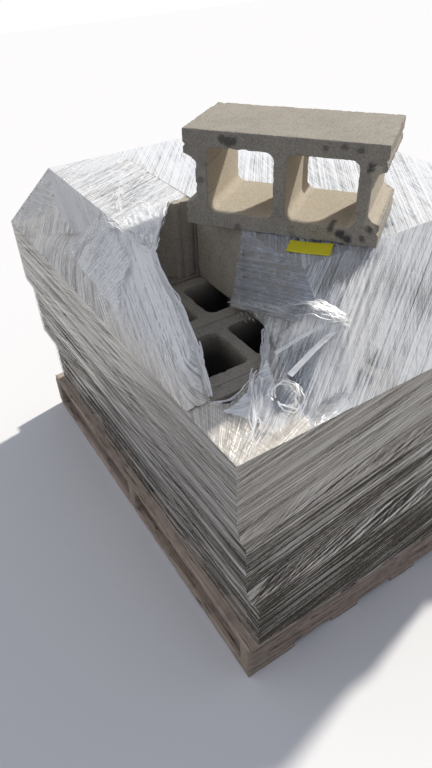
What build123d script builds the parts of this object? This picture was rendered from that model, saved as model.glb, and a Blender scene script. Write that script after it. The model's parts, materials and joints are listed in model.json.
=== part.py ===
"""A pallet of two-core hollow concrete blocks in stretch film, torn open where one block was lifted out."""

from build123d import *
import os
from math import cos, pi, sin

# Millimetres, +Z up. The origin is the middle of the pallet's underside. X runs along the
# stringers, the pallet's short side, and Y along its deck boards, the long side.

# Hollow block, nominal 8 x 8 x 16 inches
block_length = 397.0
block_width = 194.0
block_height = 194.0
face_shell = 32.0
end_web = 25.0
centre_web = 25.0
core_corner = 24.0
core_draft = 0.6  # degrees that the core widens towards the block's underside
corner_flat_count = 3  # the stacked blocks' core corners are this many flats, to keep the load light

# Frogged end: a shallow recess between two ears, each ear with a V groove down it
frog_depth = 24.0
frog_mouth = 100.0
frog_throat = 92.0
frog_floor = 70.0
frog_slant_start = 14.0
groove_width = 10.0
groove_depth = 4.5
groove_from_side = 30.0

# Pallet, 48 x 40 inches
pallet_length = 1219.0
pallet_width = 1016.0
stringer_thickness = 38.0
stringer_height = 89.0
board_thickness = 19.0
lead_board_width = 140.0
inner_board_width = 89.0
top_board_count = 7
bottom_board_count = 5

# Courses: three full ones of 15 blocks and a short one on top
full_row_count = 6  # blocks side by side in a straight column
full_turned_count = 3  # blocks end to end in a turned column
joint = 2.0  # between block ends
near_row_count = 3  # rows that are pushed together at the near end
near_row_gap = 0.5
course_setbacks = ((28.0, 0.0), (7.0, 19.0), (-4.0, 32.0))  # left and near, from the pallet's edges
top_setback = (83.0, 226.0)
top_row_count = 4
top_turned_count = 2
top_joint = 7.0  # between the ends of the top course's turned blocks
top_near_row_count = 2
top_near_row_gap = 5.5

# Block that was lifted out and laid on the load, on one face shell
loose_from_top_corner = (312.0, 188.0)  # its centre, from the top course's near left corner
loose_turn = -53.8

# Stretch film, drawn thicker than it is
film_thickness = 2.4
film_side_gap = 3.0
film_lay_gap = 0.3
film_above_deck = 1.0

# How the film hangs from the top course: distances from the third course's near left corner
drape_near_end = 161.0  # where the left slope starts, beside the flat near corner
drape_lean = 82.0  # how much further back it starts at the top
drape_far_end = 570.0  # where the film starts to pull in to the top course
drape_peak = 650.0  # where it starts to, at the top
slope_left_end = 254.0  # where the near slope starts on the near edge

# Line where the film meets the top course's left side: distance along it, height above the third course
drape_line = ((700.0, 141.0), (870.0, 56.0))
drape_corner_height = 91.0

# Torn opening in the film, left and near sides, from the third course's near left corner
tear_outline = (
    (225.0, 611.0),
    (151.0, 507.0),
    (81.0, 403.0),
    (68.0, 358.0),
    (60.0, 267.0),
    (48.0, 206.0),
    (49.0, 161.0),
    (77.0, 135.0),
    (126.0, 163.0),
    (195.0, 199.0),
    (250.0, 263.0),
)
tear_side_gap = 1.0  # between the opening's right side and the film over the block ends there

# Bare lot tag on the film beside the loose block
tag_length = 86.0
tag_width = 50.0
tag_thickness = 0.6
tag_gap = 11.0  # from the loose block
tag_along = 77.0  # from the loose block's middle
tag_turn = 4.8  # from the loose block's length

# Worked out from the sizes above
core_length = (block_length - 2 * (frog_depth + end_web) - centre_web) / 2
core_width = block_width - 2 * face_shell
course_width = 2 * block_length + block_width + 2 * joint
course_length = max(
    full_turned_count * block_length + (full_turned_count - 1) * joint,
    full_row_count * block_width + (full_row_count - 1) * joint,
)
top_width = block_length + 2 * block_width + 2 * joint
top_length = max(
    top_turned_count * block_length + (top_turned_count - 1) * top_joint,
    top_row_count * block_width + (top_row_count - 1) * top_near_row_gap,
)
left_edge = -pallet_width / 2
near_edge = -pallet_length / 2
top_left = left_edge + top_setback[0]
top_near = near_edge + top_setback[1]
third_left = left_edge + course_setbacks[2][0]
third_near = near_edge + course_setbacks[2][1]
middle_left = top_left + block_width + joint  # the top course's middle column, whose ends show in the opening
deck_top = 2 * board_thickness + stringer_height
course_floor = [deck_top + i * block_height for i in range(4)]
stack_top = course_floor[-1] + block_height


def frogged_end():
    """Outline of a frogged end, from the -Y side to the +Y side, as (depth below the ears, y)."""
    side = block_width / 2
    groove = side - groove_from_side
    half = [
        (0, side),
        (0, groove + groove_width / 2),
        (groove_depth, groove),
        (0, groove - groove_width / 2),
        (0, frog_mouth / 2),
        (frog_slant_start, frog_throat / 2),
        (frog_depth, frog_floor / 2),
    ]
    return [(depth, -y) for depth, y in half] + half[::-1]


def plain_end():
    """Outline of a flat end, from the -Y side to the +Y side."""
    return [(0, -block_width / 2), (0, block_width / 2)]


def core_outline(flats):
    """Outline of a core at the block's top. Its corners are round, or that many flats each."""
    if flats is None:
        return RectangleRounded(core_length, core_width, core_corner)
    points = []
    for quarter, (right, far) in enumerate(((1, 1), (-1, 1), (-1, -1), (1, -1))):
        x = right * (core_length / 2 - core_corner)
        y = far * (core_width / 2 - core_corner)
        for step in range(flats + 1):
            angle = pi / 2 * (quarter + step / flats)
            points.append((x + core_corner * cos(angle), y + core_corner * sin(angle)))
    return make_face(Polyline(*points, close=True))


def hollow_block(left_end, flats=None):
    """A block about its own centre: length on X, width on Y, cores up Z."""
    right = [(block_length / 2 - depth, y) for depth, y in frogged_end()]
    left = [(-block_length / 2 + depth, y) for depth, y in left_end[::-1]]
    body = extrude(make_face(Polyline(*right, *left, close=True)), block_height)
    core = extrude(core_outline(flats), -block_height, taper=-core_draft)
    for side in (-1, 1):
        body -= Pos(side * (centre_web + core_length) / 2, 0, block_height) * core
    return Pos(0, 0, -block_height / 2) * body


def spread(start, length, width, count):
    """Centres of count equal widths spread evenly over a length."""
    if count == 1:
        return [start + length / 2]
    pitch = (length - width) / (count - 1)
    return [start + width / 2 + i * pitch for i in range(count)]


def near_rows(start, length, count, tight, gap):
    """Centres of a straight column's rows: the near ones pushed together, the rest spread to the far end."""
    pitch = block_width + gap
    near = [start + block_width / 2 + i * pitch for i in range(tight)]
    spread_start = near[-1] - block_width / 2
    return near[:-1] + spread(spread_start, start + length - spread_start, block_width, count - tight + 1)


def straight_column(block, x, z, rows):
    """Blocks side by side, each along X. x is the column's left edge and rows their centres."""
    return [Pos(x + block_length / 2, row, z) * block for row in rows]


def turned_column(block, x, y, z, length, count):
    """Blocks end to end along Y. x is the column's left edge and y its near end."""
    turned = Rot(0, 0, 90) * block
    return [Pos(x + block_width / 2, row, z) * turned for row in spread(y, length, block_length, count)]


def full_course(block, index):
    """15 blocks: two straight columns and one turned, which changes sides from course to course."""
    x = left_edge + course_setbacks[index][0]
    y = near_edge + course_setbacks[index][1]
    z = course_floor[index] + block_height / 2
    turned_on_left = index % 2 == 1
    first_straight = x + (block_width + joint if turned_on_left else 0)
    turned_x = x if turned_on_left else x + 2 * (block_length + joint)
    blocks = turned_column(block, turned_x, y, z, course_length, full_turned_count)
    rows = near_rows(y, course_length, full_row_count, near_row_count, near_row_gap)
    for step in range(2):
        blocks += straight_column(block, first_straight + step * (block_length + joint), z, rows)
    return blocks


def top_course(block, plain_block):
    """Seven blocks: the near one of the left column was lifted out."""
    z = course_floor[3] + block_height / 2
    rows = near_rows(top_near, top_length, top_row_count, top_near_row_count, top_near_row_gap)
    left = turned_column(block, top_left, top_near, z, top_length, top_turned_count)[1:]
    middle = straight_column(plain_block, middle_left, z, rows)
    right_x = middle_left + block_length + joint
    return left + middle + turned_column(block, right_x, top_near, z, top_length, top_turned_count)


def on_loose_block(z):
    """Place of the loose block's middle at a height, with its length along X."""
    return Pos(top_left + loose_from_top_corner[0], top_near + loose_from_top_corner[1], z) * Rot(0, 0, loose_turn)


def loose_block(block):
    """The lifted block, on one face shell on the film, its cores level."""
    z = stack_top + 2 * film_lay_gap + film_thickness + block_width / 2
    return on_loose_block(z) * Rot(90, 0, 0) * block


def board(x, y, z, across, along, thickness):
    """A sawn board or stringer with its lower left near corner at a point."""
    return Pos(x, y, z) * Box(across, along, thickness, align=(Align.MIN, Align.MIN, Align.MIN))


def pallet():
    """Three stringers across between a seven-board deck and five bottom boards, all boards lengthwise."""
    pieces = {}
    along = spread(near_edge, pallet_length, stringer_thickness, 3)
    for name, y in zip(("near", "middle", "far"), along):
        pieces[f"stringer_{name}"] = board(
            left_edge, y - stringer_thickness / 2, board_thickness,
            pallet_width, stringer_thickness, stringer_height,
        )
    decks = (
        ("top_board", top_board_count, board_thickness + stringer_height),
        ("bottom_board", bottom_board_count, 0.0),
    )
    for name, count, z in decks:
        inner_run = pallet_width - 2 * lead_board_width
        gap = (inner_run - (count - 2) * inner_board_width) / (count - 1)
        inner_start = left_edge + lead_board_width + gap
        inner = spread(inner_start, inner_run - 2 * gap, inner_board_width, count - 2)
        rows = [(left_edge, lead_board_width)]
        rows += [(x - inner_board_width / 2, inner_board_width) for x in inner]
        rows += [(-left_edge - lead_board_width, lead_board_width)]
        for i, (x, width) in enumerate(rows, 1):
            pieces[f"{name}_{i}"] = board(x, near_edge, z, width, pallet_length, board_thickness)
    return pieces


def closed_solid(corners, faces):
    """A closed solid from named corners and faces, each face a list of corner names."""
    polygons = [[Vector(*corners[name]) for name in face] for face in faces]
    return Solid(Shell([Face(Wire.make_polygon(points)) for points in polygons]))


def roof_sides(grow):
    """Sides of the film at the third course's top and round the top course, and the two heights."""
    out = film_side_gap + grow
    low = (third_left - out, third_left + course_width + out, third_near - out, third_near + course_length + out)
    high = (top_left - out, top_left + top_width + out, top_near - out, top_near + top_length + out)
    return low, high, course_floor[3], stack_top + film_lay_gap + grow


def film_right(grow):
    """Space under the film over the middle and right columns, with its slopes and the flap on the left."""
    (x0, x1, y0, y1), (u0, u1, v0, v1), low, high = roof_sides(grow)
    flap = middle_left - film_side_gap - grow
    slope = third_left + slope_left_end - grow
    corners = {
        "near": (slope, y0, low), "right": (x1, y0, low), "far": (x1, y1, low), "left": (flap, y1, low),
        "foot": (flap, v0, low), "top near": (flap, v0, high), "top right": (u1, v0, high),
        "top far": (u1, v1, high), "top left": (flap, v1, high),
    }
    faces = [
        ["near", "right", "far", "left", "foot"],
        ["top near", "top right", "top far", "top left"],
        ["near", "right", "top right", "top near"],
        ["right", "far", "top far", "top right"],
        ["far", "left", "top left", "top far"],
        ["left", "foot", "top near", "top left"],
        ["foot", "near", "top near"],
    ]
    return closed_solid(corners, faces)


def film_left(grow):
    """Space under the film over the left column: a slope, then a drape pulled in to the top course."""
    (x0, x1, y0, y1), (u0, u1, v0, v1), low, high = roof_sides(grow)
    flap = middle_left - film_side_gap
    near = third_near + drape_near_end - grow
    back = near + block_length / 2 + film_side_gap
    lean = drape_lean - (back - near) * (u0 - x0) / (flap - x0)
    start, middle = [(u0, third_near + along, low + up + grow) for along, up in drape_line]
    corners = {
        "near": (x0, near, low), "back": (flap, back, low), "far": (flap, y1, low), "left": (x0, y1, low),
        "turn": (x0, third_near + drape_far_end, low), "start": start, "middle": middle,
        "end": (u0, v1, low + drape_corner_height + grow), "top near": (u0, near + drape_lean, high),
        "top back": (flap, back + lean, high), "top far": (flap, v1, high), "top left": (u0, v1, high),
        "peak": (u0, third_near + drape_peak, high),
    }
    faces = [
        ["near", "back", "far", "left", "turn"],
        ["top near", "top back", "top far", "top left", "peak"],
        ["near", "back", "top back", "top near"],
        ["back", "far", "top far", "top back"],
        ["far", "top far", "top left"],
        ["far", "top left", "end"],
        ["far", "end", "left"],
        ["left", "end", "middle"],
        ["left", "middle", "turn"],
        ["turn", "middle", "start"],
        ["turn", "start", "peak"],
        ["turn", "peak", "top near", "near"],
        ["peak", "start", "middle", "end", "top left"],
    ]
    return closed_solid(corners, faces)


def film_skirt(grow):
    """Space round the three full courses, which the film follows in and out."""
    out = film_side_gap + grow
    shapes = []
    for index, (left, near) in enumerate(course_setbacks):
        low = course_floor[index] - film_lay_gap - grow
        if index == 0:
            low = deck_top + film_above_deck - (block_height if grow == 0 else 0)
        high = course_floor[index] + block_height + film_lay_gap + grow
        shapes.append(
            board(
                left_edge + left - out, near_edge + near - out, low,
                course_width + 2 * out, course_length + 2 * out, high - low,
            )
        )
    return shapes[0] + shapes[1] + shapes[2]


def film_space(grow):
    """All the space that the film wraps."""
    return film_skirt(grow) + film_right(grow) + film_left(grow)


def stretch_film():
    """One closed shell of film, open below, with the torn opening over the missing block."""
    right = middle_left - film_side_gap - film_thickness - tear_side_gap
    outline = [(third_left + x, third_near + y) for x, y in tear_outline]
    outline += [(right, outline[-1][1] + block_width / 2), (right, outline[0][1])]
    tear = extrude(make_face(Polyline(*outline, close=True)), 2 * block_height)
    return film_space(film_thickness) - film_space(0.0) - Pos(0, 0, course_floor[3]) * tear


def lot_tag():
    """A bare card tag flat on the film, in line with the loose block."""
    away = block_height / 2 + tag_gap + tag_width / 2
    card = Box(tag_length, tag_width, tag_thickness, align=(Align.CENTER, Align.CENTER, Align.MIN))
    on_film = on_loose_block(stack_top + film_lay_gap + film_thickness)
    return on_film * Pos(tag_along, -away, 0) * Rot(0, 0, tag_turn) * card


def build():
    """Every node by name, each a shape or a list of like solids."""
    block = hollow_block(frogged_end(), corner_flat_count)
    plain_block = hollow_block(plain_end(), corner_flat_count)
    nodes = pallet()
    for index in range(3):
        nodes[f"block_course_{index + 1}"] = full_course(block, index)
    nodes["block_course_4"] = top_course(block, plain_block)
    nodes["loose_block"] = loose_block(hollow_block(frogged_end()))
    nodes["stretch_film"] = stretch_film()
    nodes["lot_tag"] = lot_tag()
    return nodes


os.makedirs("parts", exist_ok=True)
for name, shape in build().items():
    whole = Compound(children=shape) if isinstance(shape, list) else shape
    export_step(whole, f"parts/{name}.step")
    print(name, len(whole.solids()), round(whole.volume), whole.bounding_box())
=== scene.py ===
"""Looks of a stretch-wrapped pallet of hollow concrete blocks, torn open at one corner.

Every length is in millimetres until a mesh is made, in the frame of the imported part:
X across the pallet, Y along it and Z up, with the origin under the pallet's middle.
"""
from __future__ import annotations

import json
import logging
from dataclasses import dataclass, field
from enum import Enum

import bpy
import numpy as np
from mathutils import Matrix, Vector

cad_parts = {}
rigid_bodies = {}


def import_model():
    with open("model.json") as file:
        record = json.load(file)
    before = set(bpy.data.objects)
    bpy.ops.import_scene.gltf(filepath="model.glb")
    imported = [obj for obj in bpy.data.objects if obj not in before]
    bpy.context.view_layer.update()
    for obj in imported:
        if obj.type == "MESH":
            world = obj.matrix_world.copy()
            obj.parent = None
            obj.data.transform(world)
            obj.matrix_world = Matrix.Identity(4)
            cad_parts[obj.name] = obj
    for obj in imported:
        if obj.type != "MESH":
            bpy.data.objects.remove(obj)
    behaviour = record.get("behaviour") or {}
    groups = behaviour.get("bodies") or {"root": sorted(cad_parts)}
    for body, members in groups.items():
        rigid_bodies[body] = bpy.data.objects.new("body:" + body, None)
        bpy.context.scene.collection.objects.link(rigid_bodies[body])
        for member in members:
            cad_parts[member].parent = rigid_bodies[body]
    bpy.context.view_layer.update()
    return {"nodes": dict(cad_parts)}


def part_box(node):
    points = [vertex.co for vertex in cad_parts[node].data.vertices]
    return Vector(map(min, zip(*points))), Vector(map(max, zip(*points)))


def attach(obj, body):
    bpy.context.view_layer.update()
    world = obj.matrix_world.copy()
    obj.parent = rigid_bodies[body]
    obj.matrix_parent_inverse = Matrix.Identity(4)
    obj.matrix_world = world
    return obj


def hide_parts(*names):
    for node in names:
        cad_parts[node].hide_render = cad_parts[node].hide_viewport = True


LOG = logging.getLogger("scene")
METRE = 0.001
Array = np.ndarray
Socket = bpy.types.NodeSocket
Place = tuple[float, float, float]
Colour = tuple[float, float, float]


class Slot(Enum):
    """Material slots of the record."""

    CONCRETE = "concrete"
    WOOD = "pallet_wood"
    FILM = "film"
    CARD = "tag_card"


# Noise


def lattice_values(cell: Array, seed: int) -> Array:
    """A fixed random number in -1..1 for each whole-number cell.

    Args:
        cell: whole numbers, one row of three for each point.
        seed: picks one of many lattices.

    Returns:
        The three numbers of a row mixed by multiplying and shifting their bits, one value a row.
    """
    mixed = cell[..., 0] * 374761393 + cell[..., 1] * 668265263 + cell[..., 2] * 1442695041
    mixed = mixed + seed * 1274126177
    mixed = mixed & 0xFFFFFFFF
    mixed = ((mixed ^ (mixed >> 13)) * 1274126177) & 0xFFFFFFFF
    mixed = mixed ^ (mixed >> 16)
    return (mixed & 0xFFFF) / 32767.5 - 1.0


def smooth_noise(points: Array, seed: int) -> Array:
    """Smooth noise in -1..1.

    Args:
        points: positions in lattice steps, in the last axis of three.
        seed: picks the lattice.

    Returns:
        The eight lattice values round each point, blended by 3t^2 - 2t^3 along each axis.
    """
    cell = np.floor(points).astype(np.int64)
    part = points - cell
    part = part * part * (3.0 - 2.0 * part)
    total = np.zeros(points.shape[:-1])
    for corner in np.ndindex(2, 2, 2):
        step = np.array(corner)
        weight = np.prod(np.where(step == 1, part, 1.0 - part), axis=-1)
        total += weight * lattice_values(cell + step, seed)
    return total


def layered_noise(points: Array, seed: int, layers: int = 3) -> Array:
    """Noise with finer detail on top of broader detail.

    Args:
        points: positions in steps of the broadest layer.
        seed: picks the lattices.
        layers: how many noises are summed.

    Returns:
        The sum of smooth noises, each twice as fine and half as strong as the last, over the sum of
        their strengths.
    """
    total = np.zeros(points.shape[:-1])
    size = 0.0
    for layer in range(layers):
        weight = 0.5**layer
        total += weight * smooth_noise(points * 2.0**layer, seed + 31 * layer)
        size += weight
    return total / size


def ridged_noise(points: Array, seed: int, layers: int = 3) -> Array:
    """Thin crests.

    Args:
        points: positions in steps of the broadest layer.
        seed: picks the lattices.
        layers: how many noises are summed.

    Returns:
        One minus the size of a layered noise, cubed, in 0..1.
    """
    return (1.0 - np.abs(layered_noise(points, seed, layers))) ** 3


# Surfaces


@dataclass
class Surface:
    """Points, four-cornered faces and numbers carried by the points."""

    points: Array
    faces: Array
    marks: dict[str, Array] = field(default_factory=dict)

    def normals(self) -> Array:
        """Unit normals at the points.

        Returns:
            For each point the sum of the crossed diagonals of the faces round it, made one long.
        """
        corners = self.points[self.faces]
        crossed = np.cross(corners[:, 2] - corners[:, 0], corners[:, 3] - corners[:, 1])
        total = np.zeros_like(self.points)
        for axis in range(3):
            for corner in range(4):
                total[:, axis] += np.bincount(
                    self.faces[:, corner], weights=crossed[:, axis], minlength=len(self.points)
                )
        size = np.linalg.norm(total, axis=1, keepdims=True)
        return total / np.maximum(size, 1e-12)

    def moved(self, turn: Array, offset: Array) -> Surface:
        """The surface turned by a 3 x 3 matrix and then moved."""
        return Surface(self.points @ turn.T + offset, self.faces, dict(self.marks))

    def marked(self, **marks: float | Array) -> Surface:
        """Sets numbers at the points.

        Args:
            marks: for each name one number for all the points, or one for each.

        Returns:
            The surface itself.
        """
        for name, value in marks.items():
            shape = np.shape(value) or (len(self.points),)
            self.marks[name] = np.broadcast_to(np.asarray(value, float), shape)
        return self


def join(surfaces: list[Surface]) -> Surface:
    """All the surfaces as one.

    Args:
        surfaces: what is joined. Their points stay apart.

    Returns:
        One surface. A number that one of the surfaces doesn't carry is 0 on its points.
    """
    names = {name for surface in surfaces for name in surface.marks}
    shapes = {name: surface.marks[name].shape[1:] for surface in surfaces for name in surface.marks}
    offsets = np.cumsum([0] + [len(surface.points) for surface in surfaces[:-1]])
    marks = {}
    for name in names:
        absent = [np.zeros((len(surface.points), *shapes[name])) for surface in surfaces]
        marks[name] = np.concatenate(
            [surface.marks.get(name, zeros) for surface, zeros in zip(surfaces, absent)]
        )
    return Surface(
        np.concatenate([surface.points for surface in surfaces]),
        np.concatenate([surface.faces + offset for surface, offset in zip(surfaces, offsets)]),
        marks,
    )


def weld(surface: Surface, step: float = 0.01) -> Surface:
    """Makes one point of those that lie together.

    Args:
        surface: what is welded.
        step: points that round to the same multiple of it become one.

    Returns:
        The welded surface, with the numbers of the first point of each group.
    """
    keys = np.round(surface.points / step).astype(np.int64)
    _, first, back = np.unique(keys, axis=0, return_index=True, return_inverse=True)
    marks = {name: values[first] for name, values in surface.marks.items()}
    return Surface(surface.points[first], back.reshape(-1)[surface.faces], marks)


def grid_faces(columns: int, rows: int, closed: bool = False) -> Array:
    """Faces between points numbered column * rows + row.

    Args:
        columns, rows: counts of the points.
        closed: whether the last column is joined to the first.

    Returns:
        The four point numbers of each face, one row a face.
    """
    last = columns if closed else columns - 1
    column, row = np.meshgrid(np.arange(last), np.arange(rows - 1), indexing="ij")
    after = (column + 1) % columns
    return np.stack(
        [column * rows + row, after * rows + row, after * rows + row + 1, column * rows + row + 1], -1
    ).reshape(-1, 4)


def grid_surface(points: Array, closed: bool = False, flip: bool = False, **marks: Array) -> Surface:
    """A surface from a grid of points.

    Args:
        points: the grid, of shape columns, rows, 3.
        closed: whether the last column is joined to the first.
        flip: whether the faces look the other way.
        marks: numbers for the grid's points, by name.

    Returns:
        The surface, its points in the grid's order.
    """
    columns, rows = points.shape[:2]
    faces = grid_faces(columns, rows, closed)
    if flip:
        faces = faces[:, ::-1]
    flat = {name: values.reshape(columns * rows, *values.shape[2:]) for name, values in marks.items()}
    return Surface(points.reshape(-1, 3), faces, flat)


def lengths_along(line: Array) -> Array:
    """Distance of each point of a line from its start, measured along it."""
    return np.concatenate([[0.0], np.cumsum(np.linalg.norm(np.diff(line, axis=0), axis=1))])


def resampled(line: Array, count: int) -> Array:
    """Evenly spaced points.

    Args:
        line: the points of a line.
        count: how many points are wanted.

    Returns:
        Points at equal distances along the line, its two ends among them.
    """
    along = lengths_along(line)
    places = np.linspace(0.0, along[-1], count)
    return np.stack([np.interp(places, along, line[:, axis]) for axis in range(line.shape[1])], -1)


def corner_kept(line: Array, spacing: float) -> Array:
    """Points along a line, its own corners among them.

    Args:
        line: the corners.
        spacing: the greatest distance between neighbours.

    Returns:
        Each stretch between two corners cut into equal steps.
    """
    parts = [line[:1]]
    for start, end in zip(line[:-1], line[1:]):
        steps = max(1, int(np.ceil(np.linalg.norm(end - start) / spacing)))
        parts.append(start + (end - start) * np.linspace(0.0, 1.0, steps + 1)[1:, None])
    return np.concatenate(parts)


def rounded_corners(line: Array, radius: float) -> Array:
    """Rounds the inner corners of a line.

    Args:
        line: the corners.
        radius: how far from a corner the rounding starts, at most 0.4 of the stretch beside it.

    Returns:
        The line with three points for each inner corner: where the rounding starts and ends, and the middle
        of the quadratic curve between them, 1/4 start + 1/2 corner + 1/4 end.
    """
    points = [line[0]]
    for before, corner, after in zip(line[:-2], line[1:-1], line[2:]):
        back, ahead = np.linalg.norm(before - corner), np.linalg.norm(after - corner)
        reach = min(radius, 0.4 * back, 0.4 * ahead)
        start = corner + (before - corner) / back * reach
        end = corner + (after - corner) / ahead * reach
        points += [start, 0.25 * start + 0.5 * corner + 0.25 * end, end]
    points.append(line[-1])
    return np.array(points)


def turned(degrees: float) -> Array:
    """A turn about Z.

    Args:
        degrees: how far it turns, counter-clockwise from above.

    Returns:
        The 3 x 3 matrix.
    """
    angle = np.radians(degrees)
    cosine, sine = np.cos(angle), np.sin(angle)
    return np.array([[cosine, -sine, 0.0], [sine, cosine, 0.0], [0.0, 0.0, 1.0]])


LAID_ON_SIDE = np.array([[1.0, 0.0, 0.0], [0.0, 0.0, -1.0], [0.0, 1.0, 0.0]])


# Blocks


@dataclass(frozen=True)
class BlockSize:
    """Sizes of the two-core block."""

    length: float = 397.0
    width: float = 194.0
    height: float = 194.0
    face_shell: float = 32.0
    end_web: float = 25.0
    centre_web: float = 25.0
    core_corner: float = 17.0
    core_draft: float = 0.6
    frog_depth: float = 24.0
    arris: float = 1.4

    @property
    def core_length(self) -> float:
        """Length of one core along the block."""
        return (self.length - 2 * (self.frog_depth + self.end_web) - self.centre_web) / 2

    @property
    def core_width(self) -> float:
        """Width of a core between the face shells."""
        return self.width - 2 * self.face_shell


BLOCK = BlockSize()
FROGGED_END = ((0, 97), (0, 72), (4.5, 67), (0, 62), (0, 50), (14, 46), (24, 35))
PLAIN_END = ((0, 97),)


@dataclass(frozen=True)
class Detail:
    """How finely a block is made."""

    spacing: float
    wall_rows: int
    ring_rows: int


class Fineness(Enum):
    """Three finenesses, by how near a block is to being seen whole."""

    CLOSE = Detail(3.6, 40, 9)
    SEEN = Detail(8.0, 18, 5)
    HIDDEN = Detail(60.0, 1, 1)


def rounded_box_distance(points: Array, half: Array, radius: float) -> Array:
    """Distance from a rounded rectangle about the origin.

    Args:
        points: plan points.
        half: half of its length and of its width.
        radius: of its corners.

    Returns:
        The distance of each point from it, negative inside.
    """
    over = np.abs(points) - (half - radius)
    return np.linalg.norm(np.maximum(over, 0.0), axis=1) + np.minimum(over.max(axis=1), 0.0) - radius


def core_loop(outer: Array) -> tuple[Array, Array]:
    """Points of a core at its top and the directions away from it.

    Args:
        outer: plan points round it, one for each wanted point.

    Returns:
        Where the lines from the core's middle to the outer points cross its rounded rectangle, found by
        halving the range 40 times, and the direction in which the distance from it grows.
    """
    middle = np.array([(BLOCK.centre_web + BLOCK.core_length) / 2, 0.0])
    half = np.array([BLOCK.core_length, BLOCK.core_width]) / 2
    away = outer - middle
    low = np.zeros(len(outer))
    high = np.ones(len(outer))
    for _ in range(40):
        centre = (low + high) / 2
        outside = rounded_box_distance(away * centre[:, None], half, BLOCK.core_corner) > 0
        high = np.where(outside, centre, high)
        low = np.where(outside, low, centre)
    points = away * high[:, None]
    step = 0.05
    slope = np.stack(
        [
            rounded_box_distance(points + np.array(move) * step, half, BLOCK.core_corner)
            - rounded_box_distance(points - np.array(move) * step, half, BLOCK.core_corner)
            for move in ((1.0, 0.0), (0.0, 1.0))
        ],
        -1,
    )
    return points + middle, slope / np.linalg.norm(slope, axis=1, keepdims=True)


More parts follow.
